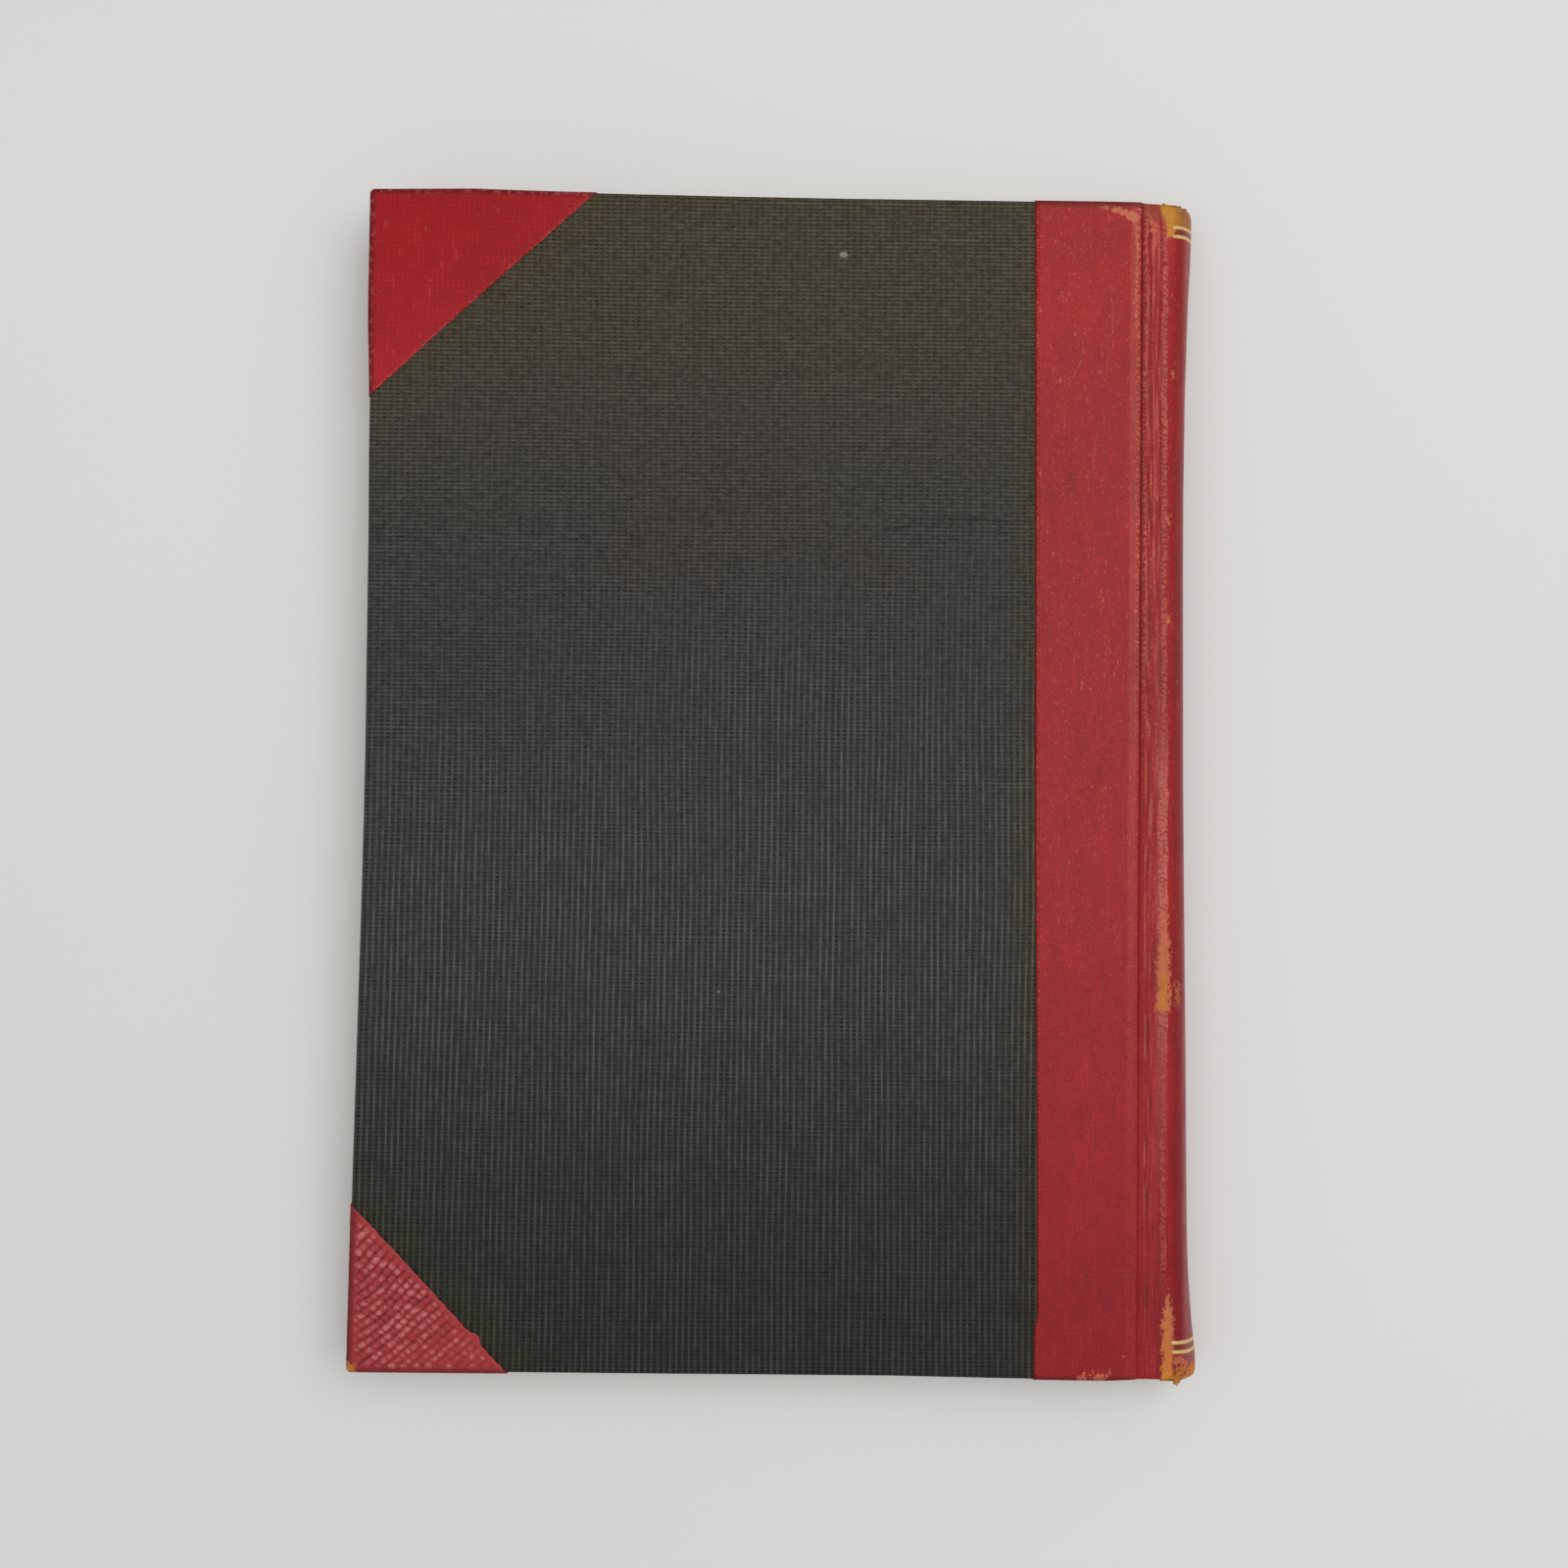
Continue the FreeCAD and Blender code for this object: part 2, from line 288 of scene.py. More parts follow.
def leather_relief(x, y, side):
    """Height of wrinkles and unevenness on the leather, mm."""
    joint = smooth(x, END + 0.4, END + 1.2) * (1 - smooth(x, END + 4.8, END + 6.2))
    creases = 0.08 - 0.2 * abs(wobble(x * 1.4, y * 0.04, side)) + 0.05 * wobble(x * 2.6, y * 0.2, side)
    rope = smooth(x, END + 2.9, END + 3.5) * (1 - smooth(x, END + 4.6, END + 5.2))
    rope_twist = math.sin(2 * math.pi * (y + 0.15 * x) / 1.15 + 6 * wobble(x * 0.5, y * 0.35, side + 3))
    knobs = 0.024 * rope * rope_twist * (0.6 + 0.8 * wobble(0, y * 0.15, side + 2))
    soft = 0.08 * wobble(x * 0.05, y * 0.04, side + 9) + 0.02 * wobble(x * 0.3, y * 0.3, side)
    edge_crown = 0.05 * smooth(x, END - 3.4, END - 1.6) * (1 - smooth(x, END - 0.9, END - 0.2))
    inside = smooth(abs(y), HALF - 0.5, HALF - 4)
    return (joint * creases + knobs) * inside + soft * (1 - smooth(x, END - 4, END)) + edge_crown


def end_rows(limit, depth, rounding, turn_in):
    """(y, depth below the face) over a rounded end and back along the inside."""
    r = min(rounding, depth / 2)
    turns = [math.pi / 2 * i / 5 for i in range(1, 6)]
    rows = [(limit - r + r * math.sin(a), r * (1 - math.cos(a))) for a in turns]
    rows += [(limit, mixed(r, depth - r, t)) for t in (0.35, 0.7, 1.0)]
    rows += [(limit - r + r * math.cos(a), depth - r + r * math.sin(a)) for a in turns]
    rows += [(limit - r - turn_in * t, depth) for t in (0.15, 0.4, 0.7, 1.0)]
    return rows


def end_shape(x, height):
    """Depth of the turned-in end, its length, and how far x is within the cap, 0 to 1."""
    over_board = height - (INNER - MID)
    thin = mixed(1.1, 1.6, smooth(x, END + RIDGE_PAST_END, END + RIDGE_PAST_END + 4))
    depth = mixed(over_board, thin, smooth(x, END + 0.6, END + 3.5))
    length = mixed(TURN_IN, CAP_TURN_IN, smooth(x, END, END + 1.0))
    return depth, length, smooth(x, END + 3.0, END + 7.0)


def leather_point(x, height, normal, y, side, depth=0.0):
    """A point of the sheet, lifted by its relief and let down by depth."""
    nx, nz = normal
    lift = leather_relief(x, y, side)
    radial = smooth(x, END + 3.8, END + 5.5)
    dx, dz = mixed(0, -nx, radial), mixed(-1, -nz, radial)
    size = math.hypot(dx, dz)
    fray = 0.14 * wobble(y * 0.9, side, 4) * (1 - smooth(x, BORDER, BORDER + 1.2))
    px = x + nx * lift + dx / size * depth + fray
    pz = height + nz * lift + dz / size * depth
    return px, y, MID + side * pz


def spine_end(sign, side):
    """Rows over the head (+1) or tail (-1) end of a sheet, out over the edge and back inside."""
    limit = HALF - END_MARGIN
    profile = spine_profile(sign * limit)
    columns = []
    for (x, height), (nx, nz) in zip(profile, profile_normals(profile)):
        depth, length, cap = end_shape(x, height)
        extra = 0.0 if sign > 0 else cap * TAIL_CAP_EXTRA
        column = []
        for y, deep in end_rows(HALF + extra, depth, mixed(EDGE_END_ROUND, CAP_END_ROUND, cap), length):
            drop = flare(sign * min(HALF, max(y, HALF - CAP_ROUNDING))) - flare(sign * limit)
            shift = drop * cap if deep < depth / 2 else 0.0
            column.append(leather_point(x + nx * shift, height + nz * shift, (nx, nz), sign * y, side, deep))
        columns.append(column)
    return [list(row) for row in zip(*columns)]


def spine_sheet(name, side):
    """Half of the spine leather with its siding; side is +1 at the back cover, -1 at the front."""
    limit = HALF - END_MARGIN
    rows = spine_end(-1, side)[::-1]
    for y in linear(-limit, limit, SPINE_ROWS):
        profile = spine_profile(y)
        rows.append([leather_point(x, height, normal, y, side)
                     for (x, height), normal in zip(profile, profile_normals(profile))])
    rows += spine_end(1, side)
    return sheet(name, [[settled(p, True) for p in row] for row in rows], LEATHER,
                 [p for row in rows for p in row], side < 0)


# Covers: a rounded case cut into cloth and leather, then given its thickness
def slice_mesh(mesh, point, normal, drop_front=False):
    """Cut the mesh along a plane; drop_front removes what lies on the normal's side."""
    bmesh.ops.bisect_plane(mesh, geom=mesh.verts[:] + mesh.edges[:] + mesh.faces[:],
                           plane_co=point, plane_no=normal, clear_outer=drop_front)


def box_mesh(low, high):
    mesh = bmesh.new()
    place = Matrix.Translation((low + high) / 2) @ Matrix.Diagonal((*(high - low), 1))
    bmesh.ops.create_cube(mesh, size=1, matrix=place)
    return mesh


def face_lists(mesh):
    return [[v.index for v in f.verts] for f in mesh.faces]


CASE_CORNER_RADIUS = 1.0
CASE_EDGE_RADIUS = 0.5


def case_mesh(inset):
    """Rounded shell of a covered board, outer faces set in by inset, open inside the turn-ins."""
    low = Vector((FORE + inset, -HALF + inset, INNER))
    high = Vector((END - inset, HALF - inset, TOP - inset))
    mesh = box_mesh(low, high)
    upright = [e for e in mesh.edges if abs(e.verts[0].co.z - e.verts[1].co.z) > 1]
    bmesh.ops.bevel(mesh, geom=upright, offset=CASE_CORNER_RADIUS, segments=6, affect="EDGES", profile=0.5)
    level = [e for e in mesh.edges if abs(e.verts[0].co.z - e.verts[1].co.z) < 0.01
             and len([f for f in e.link_faces if abs(f.normal.z) > 0.9]) == 1]
    bmesh.ops.bevel(mesh, geom=level, offset=CASE_EDGE_RADIUS, segments=5, affect="EDGES", profile=0.5)
    slice_mesh(mesh, Vector((INFILL_LOW.x, 0, 0)), Vector((1, 0, 0)))
    for y in (-INFILL_HIGH.y, INFILL_HIGH.y):
        slice_mesh(mesh, Vector((0, y, 0)), Vector((0, 1, 0)))
    pocket = [f for f in mesh.faces if f.normal.z < -0.9
              and f.calc_center_median().x > INFILL_LOW.x
              and abs(f.calc_center_median().y) < INFILL_HIGH.y]
    bmesh.ops.delete(mesh, geom=pocket, context="FACES")
    return mesh


def cut_grid(mesh, step):
    """Divide what is left of a shell into small faces, so that relief can bend it."""
    for axis in (0, 1):
        direction = Vector((axis == 0, axis == 1, 0))
        reach = [v.co[axis] for v in mesh.verts]
        start, stop = min(reach) + 1.5, max(reach) - 1.5
        for place in linear(start, stop, int((stop - start) / step)):
            slice_mesh(mesh, direction * place, direction)


class Cut:
    """The slanting edge between a leather corner and the cloth; its normal points to the cloth."""

    def __init__(self, low, high, head):
        self.start = Vector((high.x, HALF if head else -HALF, 0))
        stop = Vector((FORE, low.y if head else high.y, 0))
        self.along = (stop - self.start).normalized()
        self.normal = Vector((-self.along.y, self.along.x, 0))
        if self.normal.x < 0:
            self.normal = -self.normal

    def past(self, p):
        return (Vector((p.x, p.y, 0)) - self.start).dot(self.normal)

    def frayed(self, p, drift, bump_at=None):
        """Shift of a point near the cut, so that the edge of the leather isn't a ruled line."""
        s = (Vector((p.x, p.y, 0)) - self.start).dot(self.along)
        amount = between(s, drift) + 0.16 * wobble(s * 0.7, 2.0) + 0.1 * wobble(s * 0.15, 5.0)
        if bump_at is not None:
            amount += 0.85 * math.exp(-((s - bump_at) / 1.3) ** 2)
        amount *= 1 - smooth(-self.past(p), 0.0, 4.0)
        if abs(p.y) > HALF - 0.9:
            return Vector((amount / self.normal.x, 0, 0))
        if p.x < FORE + 0.9:
            return Vector((0, amount / self.normal.y, 0))
        return self.normal * amount


HEAD_CUT = Cut(HEAD_CORNER_LOW, HEAD_CORNER_HIGH, True)
TAIL_CUT = Cut(TAIL_CORNER_LOW, TAIL_CORNER_HIGH, False)
TAIL_CUT_BUMP = 9.2
HEAD_DRIFT = ((0, -0.3), (15, 0.0))
TAIL_DRIFT = ((0, -0.4), (8, -0.3), (14, 0.0), (40, 0.45))


def flat_place(p):
    """Place on the covering as if laid flat, so that the weave runs over the edges unstretched."""
    drop = TOP - p.z
    x, y = p.x, p.y
    if p.x < FORE + 0.6:
        x = p.x - drop
    if abs(p.y) > HALF - 0.6:
        y = math.copysign(abs(p.y) + drop, p.y)
    return (x, y, p.z)


FRONT_PATTERN_SHIFT = 500


def cover_piece(name, mesh, side, thickness, relief, scale, level=0.5, fray=None):
    """A piece of the back (+1) or front (-1) cover from a cut shell; relief is 0 to 1, flat at level."""
    mesh.verts.ensure_lookup_table()
    mesh.normal_update()
    heights = [relief(v.co) for v in mesh.verts]
    points, places = [], []
    for v, height in zip(mesh.verts, heights):
        places.append(flat_place(v.co) if side > 0 else (v.co.x, v.co.y - FRONT_PATTERN_SHIFT, v.co.z))
        p = v.co + v.normal * (height - level) * scale
        if fray:
            p += fray(v.co)
        x, y, z = settled(p)
        points.append((x, y, z if side > 0 else TOP - z))
    faces = face_lists(mesh)
    if side < 0:
        faces = [f[::-1] for f in faces]
    mesh.free()
    obj = new_object(name, points, faces, places, heights)
    thicken(obj, thickness)
    return obj


def cloth_relief(p):
    return 0.5 + 0.5 * wobble(p.x * 0.03, p.y * 0.03) + 0.12 * wobble(p.x * 0.4, p.y * 0.4)


def plain_relief(p):
    return 0.5 + 0.4 * wobble(p.x * 0.12, p.y * 0.12, 7)


PEBBLE_ROW = 1.5
PEBBLE_LENGTH = 1.35
PEBBLE_TILT = math.radians(42)


def pebble_relief(p):
    """Rows of uneven pebbles across the tail corner's leather, flatter near its edges."""
    u = p.x * math.cos(PEBBLE_TILT) + p.y * math.sin(PEBBLE_TILT)
    t = p.y * math.cos(PEBBLE_TILT) - p.x * math.sin(PEBBLE_TILT)
    t += 1.2 * wobble(p.x * 0.09, p.y * 0.09, 1) + 0.18 * wobble(p.x * 0.8, p.y * 0.8, 3)
    row = math.floor(t / PEBBLE_ROW)
    across = 2 * abs(t / PEBBLE_ROW - row - 0.5)
    start = 0.5 + 0.5 * noise.cell(Vector((row + 0.5, 0.5, 8.5)))
    u += 0.55 * wobble(u * 0.55, row * 5.3, 2) + (t / PEBBLE_ROW - row) * 0.35
    beads = u / PEBBLE_LENGTH + start
    bead = math.floor(beads)
    along = 2 * abs(beads - bead - 0.5)
    strength = 0.82 + 0.28 * noise.cell(Vector((bead + 0.5, row + 0.5, 6.5)))
    split = 0.6 + 0.3 * noise.cell(Vector((bead + 0.5, row + 0.5, 3.5)))
    dome = (1 - across ** 2.6) * (1 - split * along ** 3) * strength
    dome *= 0.88 + 0.24 * wobble(p.x * 1.7, p.y * 1.7, 9)
    inside = smooth(-TAIL_CUT.past(p), 0.1, 1.4) * smooth(p.y, -HALF, -HALF + 1.5)
    fade = smooth(p.x + 0.06 * p.y, FORE - 5.9, FORE - 3.4) * inside
    fade *= mixed(1, 0.6, smooth(p.x - p.y, 28, 55))
    return mixed(0.42 + 0.1 * wobble(p.x, p.y), dome, fade)


CLOTH_STEP = 3.0
CORNER_STEP = 1.0
PEBBLE_STEP = 0.27


def corner_piece(side, end, cut, step, relief, scale, level, drift, bump_at=None):
    """The leather corner at the head or the tail of a cover."""
    mesh = case_mesh(0)
    slice_mesh(mesh, cut.start, cut.normal, True)
    cut_grid(mesh, step)
    return cover_piece(f"{PREFIX[side]}_{end}_corner_leather", mesh, side, LEATHER, relief, scale, level,
                       lambda p: cut.frayed(p, drift, bump_at))


def make_cover(side):
    """The visible pieces of a cover, by the end of the name of the CAD node that each stands for."""
    cloth = case_mesh(CLOTH_INSET)
    for cut in (HEAD_CUT, TAIL_CUT):
        slice_mesh(cloth, cut.start - cut.normal * CLOTH_UNDER_LEATHER, -cut.normal, True)
    slice_mesh(cloth, Vector((BORDER + CLOTH_UNDER_SIDING, 0, 0)), Vector((1, 0, 0)), True)
    cut_grid(cloth, CLOTH_STEP)
    return {
        "cloth_side": cover_piece(f"{PREFIX[side]}_cloth_cover", cloth, side, CLOTH_SKIN, cloth_relief, 0.1),
        "head_corner": corner_piece(side, "head", HEAD_CUT, CORNER_STEP, plain_relief, 0.05, 0.5, HEAD_DRIFT),
        "tail_corner": corner_piece(side, "tail", TAIL_CUT, PEBBLE_STEP if side > 0 else CORNER_STEP,
                                    pebble_relief, 0.3, 0.25, TAIL_DRIFT, TAIL_CUT_BUMP),
    }


BOARD_STEP = 6.0


def board(side):
    """The stiff board inside a cover, bowed like its covering."""
    mesh = box_mesh(*box_mm(f"{PREFIX[side]}_board"))
    cut_grid(mesh, BOARD_STEP)
    mesh.verts.ensure_lookup_table()
    points = [settled(v.co) for v in mesh.verts]
    core = new_object(f"{PREFIX[side]}_board_core", points, face_lists(mesh))
    mesh.free()
    core.data.shade_flat()
    return core


# Book block: the leaves, the lining of its back, the end bands and the folds of the end papers
LEAF_GROUPS = 72
LEAF_COLUMNS = 44
LEAF_ROWS = 64
FORE_DIP = 2.4
SHOULDER_SLOPE = 3.6
LEAVES_LOW = 3.2
LEAVES_HIGH = 10.8


def leaf_line(t):
    """(x, z) points of one leaf from fore-edge to back; t runs from 0 at the front to 1 at the back."""
    flat = mixed(LEAVES_LOW, LEAVES_HIGH, t)
    out = mixed(BLOCK_LOW.z, BLOCK_HIGH.z, t)
    arc = 1 - (2 * t - 1) ** 2
    start = BLOCK_LOW.x + FORE_DIP * arc
    stop = SHOULDER + (BLOCK_HIGH.x - SHOULDER) * arc
    slope = SHOULDER - SHOULDER_SLOPE
    points = []
    for u in linear(0, 1, LEAF_COLUMNS):
        x = mixed(start, stop, u)
        points.append((x, mixed(flat, out, smooth(x, slope, SHOULDER + 0.4))))
    return points


def leaf_unevenness(level, along, which):
    """How far one group of leaves stands back from its neighbours."""
    step = 0.5 + 0.5 * wobble(level * 3.1, which * 7.7)
    slow = wobble(level * 0.12, along * 0.02, which)
    return 0.12 * step + 0.1 * (0.5 + 0.5 * slow) + 0.03 * wobble(level * 1.7, along * 0.15, which)


def leaf_block():
    """All leaves as one solid, its edges stepped leaf group by leaf group."""
    lines = [leaf_line(t) for t in linear(0, 1, LEAF_GROUPS)]
    ys = linear(BLOCK_LOW.y, BLOCK_HIGH.y, LEAF_ROWS)
    index, points, places = {}, [], []

    def vertex(i, j, k):
        key = (i, j, k)
        if key not in index:
            x, z = lines[i][j]
            y = ys[k]
            if k in (0, LEAF_ROWS - 1):
                y -= math.copysign(leaf_unevenness(i, x, k > 0), y)
            if j == 0:
                x += leaf_unevenness(i, y, 2)
            index[key] = len(points)
            points.append((x, y, z))
            places.append((x, y, 10.0 * i / LEAF_GROUPS))
        return index[key]

    faces = []

    def face(start, a, b, turn):
        """A quad that spans the grid's axes a and b from its start."""
        corners = [list(start) for _ in range(4)]
        for corner, axis in ((1, a), (2, a), (2, b), (3, b)):
            corners[corner][axis] += 1
        faces.append([vertex(*corner) for corner in corners][::turn])

    levels, columns, rows = LEAF_GROUPS - 1, LEAF_COLUMNS - 1, LEAF_ROWS - 1
    for i in range(levels):
        for j in range(columns):
            face((i, j, 0), 1, 0, 1)
            face((i, j, rows), 1, 0, -1)
        for k in range(rows):
            face((i, 0, k), 2, 0, -1)
            face((i, columns, k), 2, 0, 1)
    for j in range(columns):
        for k in range(rows):
            face((0, j, k), 1, 2, -1)
            face((levels, j, k), 1, 2, 1)
    block = new_object("leaves", points, faces, places)
    block.data.shade_flat()
    return block


def back_arc(past, reach, count=30):
    """(x, z) points round the back of the block, a distance past it, over a share of its arc."""
    rise = BLOCK_HIGH.x - SHOULDER
    half = MID - BLOCK_LOW.z
    radius = (half ** 2 + rise ** 2) / (2 * rise)
    centre = BLOCK_HIGH.x - radius
    limit = math.asin(min(1.0, half / radius)) * reach
    return [(centre + (radius + past) * math.cos(a), MID + (radius + past) * math.sin(a))
            for a in linear(limit, -limit, count)]


def swept_sheet(name, path, y_low, y_high, rows, thickness):
    """A sheet that keeps one (x, z) section along y."""
    return sheet(name, [[(x, y, z) for x, z in path] for y in linear(y_low, y_high, rows)], thickness)


STRIP_ROWS = 12


def joint_strip(name, side, path, half_length, thickness):
    """A strip of paper or mull that runs from a cover to the block and curves across the joint."""
    curve = catmull(path, 8)
    if side < 0:
        curve = [(x, TOP - z) for x, z in curve[::-1]]
    return swept_sheet(name, curve, -half_length, half_length, STRIP_ROWS, thickness)


BAND_RADIUS = 0.92
BAND_RIB = 0.1
BAND_TURN = 0.42
BAND_TIP = 0.3


def end_band(name, sign):
    """A sewn band at one end of the back, with a rib for each turn of its thread."""
    y = sign * (BLOCK_HIGH.y + (BAND_HIGH.y - BLOCK_HIGH.y) / 2)
    path, radii, places = [], [], []
    for i, (x, z) in enumerate(back_arc(-1.1, 0.72, 120)):
        path.append((x, y, z))
        radii.append(BAND_RADIUS + BAND_RIB * abs(math.sin(i * BAND_TURN)))
        places.append((i * BAND_TURN / math.pi, y, z))
    radii[0] = radii[-1] = BAND_TIP
    return tube(name, path, radii, 12, places)


# Gold lines, and the torn bit of leather with its thread at the tail
GILT_RAISE = 0.04
GILT_SKIN = 0.1
GILT_SPREAD = 0.07
GILT_START = END + RIDGE_PAST_END + 1.3


def gilt_line(node):
    """A gold line tooled round the spine, just proud of the leather."""
    low, high = box_mm(node)
    rows = []
    for y in linear(low.y - GILT_SPREAD, high.y + GILT_SPREAD, 4):
        profile = spine_profile(y)
        half = [(x + nx * GILT_RAISE, z + nz * GILT_RAISE)
                for (x, z), (nx, nz) in zip(profile, profile_normals(profile)) if x > GILT_START]
        rows.append([(x, y, MID + z) for x, z in half] + [(x, y, MID - z) for x, z in half[-2::-1]])
    width = min(len(row) for row in rows)
    return sheet(f"{node}_leaf", [[settled(p) for p in row[:width]] for row in rows], GILT_SKIN)


TAG_FROM = 74.1
TAG_TO = 75.7
TAG_LENGTH = 1.2
TAG_BELOW = 0.75
TAG_ROWS = 7
TAG_SKIN = 0.3
THREAD_RADIUS = 0.11


def torn_tag():
    """A frayed bit of leather that hangs off the tail cap."""
    profile = spine_profile(-(HALF - EDGE_END_ROUND))
    place = [(x, z) for x, z in profile if TAG_FROM < x < TAG_TO]
    rows = []
    for t in linear(0, 1, TAG_ROWS):
        row = []
        for k, (x, z) in enumerate(place):
            ragged = 1 + 0.45 * wobble(k * 0.9, 3.0)
            inward = mixed(x, (TAG_FROM + TAG_TO) / 2, 0.25 * t)
            y = -HALF + 0.1 - TAG_LENGTH * t * ragged
            row.append((inward, y, MID + z - TAG_BELOW - 0.5 * t * t + 0.15 * wobble(x * 2, t * 3)))
        rows.append(row)
    return sheet("torn_cap_leather", rows, TAG_SKIN)


def loose_thread():
    """A short end of sewing thread below the torn leather."""
    z = MID + 4.6
    path = catmull([(74.7, -HALF + 0.4, z), (74.8, -HALF - 0.6, z + 0.1), (75.4, -HALF - 1.1, z - 0.2),
                    (75.2, -HALF - 1.7, z - 0.5), (75.6, -HALF - 2.1, z - 0.9)], 6)
    return tube("loose_thread", path, [THREAD_RADIUS] * len(path), 8)


# Materials
LIGHT_LEVEL = 0.91


def srgb(r, g, b):
    """Base colour, linear with alpha, that shows as this screen colour under the scene's lights."""
    def channel(v):
        v /= 255
        return LIGHT_LEVEL * (v / 12.92 if v <= 0.04045 else ((v + 0.055) / 1.055) ** 2.4)
    return (channel(r), channel(g), channel(b), 1.0)


class Field:
    """An output of a material's nodes that counts like a number."""

    def __init__(self, shader, socket):
        self.shader, self.socket = shader, socket

    def __add__(self, other):
        return self.shader.math("ADD", self, other)

    def __mul__(self, other):
        return self.shader.math("MULTIPLY", self, other)

    def __sub__(self, other):
        return self.shader.math("SUBTRACT", self, other)

    def __rsub__(self, other):
        return self.shader.math("SUBTRACT", other, self)

    def __pow__(self, other):
        return self.shader.math("POWER", self, other)

    def __abs__(self):
        return self.shader.math("ABSOLUTE", self)

    __radd__, __rmul__ = __add__, __mul__


class Shader:
    """A small builder for one procedural material; places are in mm."""

    def __init__(self, name, on_cad=False, roughness=0.6, specular=0.2, metallic=0.0):
        self.material = bpy.data.materials.new(name)
        self.material.use_nodes = True
        self.tree = self.material.node_tree
        self.bsdf = self.tree.nodes["Principled BSDF"]
        self.bsdf.inputs["Roughness"].default_value = roughness
        self.bsdf.inputs["Specular IOR Level"].default_value = specular
        self.bsdf.inputs["Metallic"].default_value = metallic
        if on_cad:
            metres = self.node("TexCoord", {}, "Object")
            self.place = self.node("VectorMath", {0: metres, "Scale": 1 / MM}, operation="SCALE")
        else:
            self.place = self.node("Attribute", {}, "Vector", attribute_name="place")
        self.x, self.y, self.z = (self.node("SeparateXYZ", {0: self.place}, axis) for axis in range(3))

    def put(self, value, socket):
        if isinstance(value, Field):
            self.tree.links.new(value.socket, socket)
        else:
            socket.default_value = value

    def node(self, kind, inputs, output=0, **settings):
        """One output of a new node, made with these settings and inputs."""
        node = self.tree.nodes.new(f"ShaderNode{kind}")
        for name, value in settings.items():
            setattr(node, name, value)
        for key, value in inputs.items():
            self.put(value, node.inputs[key])
        return Field(self, node.outputs[output])

    def math(self, operation, a, b=0.0, c=0.0):
        return self.node("Math", {0: a, 1: b, 2: c}, operation=operation)

    def most(self, *values):
        return reduce(lambda a, b: self.math("MAXIMUM", a, b), values)

    def least(self, *values):
        return reduce(lambda a, b: self.math("MINIMUM", a, b), values)

    def spread(self, value, at_zero, at_one):
        """Straight line between two values."""
        return self.math("MULTIPLY_ADD", value, at_one - at_zero, at_zero)

    def step(self, value, low, high):
        """0 below low, 1 above high, smooth between; falls instead when low is above high."""
        ends = (low, high, 0.0, 1.0) if low < high else (high, low, 1.0, 0.0)
        inputs = dict(zip(("From Min", "From Max", "To Min", "To Max"), ends), Value=value)
        return self.node("MapRange", inputs, interpolation_type="SMOOTHSTEP")

    def near(self, value, centre, width, soft):
        """1 within width of the centre, fading over soft."""
        return self.step(abs(value - centre), width + soft, width)

    def within(self, value, low, high, soft):
        """1 between low and high, fading over soft on both sides."""
        return self.step(value, low - soft, low + soft) * self.step(value, high + soft, high - soft)

    def depth(self, low_x, high_x, low_y, high_y):
        """Distance inside a rectangle in mm, negative outside it; a side may be a field."""
        return self.least(self.x - low_x, high_x - self.x, self.y - low_y, high_y - self.y)

    def distance(self, x, y, flatness=1.0):
        """Distance in mm from a place; flatness counts y more than x."""
        return self.math("SQRT", (self.x - x) ** 2.0 + (self.y - y) ** 2.0 * flatness)

    def past(self, cut):
        """Distance past the slanting edge of a corner."""
        return self.x * cut.normal.x + self.y * cut.normal.y - cut.start.dot(cut.normal)

    def line(self, start, stop, width, upright=False):
        """1 along a thin straight mark that runs mostly along x, or along y when it's upright."""
        if upright:
            u, v, start, stop = self.y, self.x, start[::-1], stop[::-1]
        else:
            u, v = self.x, self.y
        slope = (stop[1] - start[1]) / (stop[0] - start[0])
        off = abs(v - u * slope + (slope * start[0] - start[1]))
        low, high = sorted((start[0], stop[0]))
        return self.step(off, width, width * 0.3) * self.within(u, low, high, 1.0)

    def noise(self, scale, stretch=(1, 1, 1), detail=2.0, roughness=0.5, shift=0.0):
        """Noise 0-1; scale is features per mm, stretch multiplies it by axis."""
        place = self.node("Mapping", {"Vector": self.place, "Scale": [scale * s for s in stretch],
                                      "Location": (shift, shift * 1.7, shift * 0.6)})
        return self.node("TexNoise", {"Vector": place, "Scale": 1.0, "Detail": detail,
                                      "Roughness": roughness}, "Fac")

    def spots(self, low, high, *scale, **more):
        """Noise cut off into spots: 0 below low, 1 above high."""
        return self.step(self.noise(*scale, **more), low, high)

    def wave(self, value, pitch, phase=0.0):
        """0-1 cosine wave of value with the given pitch in mm."""
        turn = self.math("MULTIPLY_ADD", value, 2 * math.pi / pitch, phase)
        return self.spread(self.math("COSINE", turn), 0.5, 1.0)

    def mix(self, factor, a, b, blend="MIX"):
        """Colour b over a by a factor; a mix node has its colours at 6 and 7, their mix at 2."""
        return self.node("Mix", {0: factor, 6: a, 7: b}, 2, data_type="RGBA", blend_type=blend)

    def paint(self, colour, *layers, blend="MIX"):
        """Tints laid over a colour one after the other, each as (factor, tint)."""
        for factor, tint in layers:
            colour = self.mix(factor, colour, tint, blend)
        return colour

    def shade(self, colour, factor):
        """Colour multiplied by a grey factor."""
        colour = colour[:3] if isinstance(colour, tuple) else colour
        return self.node("VectorMath", {0: colour, "Scale": factor}, operation="SCALE")

    def finish(self, colour, height=None, distance=0.1, strength=1.0, roughness=None):
        self.put(colour, self.bsdf.inputs["Base Color"])
        if roughness is not None:
            self.put(roughness, self.bsdf.inputs["Roughness"])
        if height is not None:
            bump = self.node("Bump", {"Strength": strength, "Distance": distance * MM, "Height": height})
            self.put(bump, self.bsdf.inputs["Normal"])
        return self.material


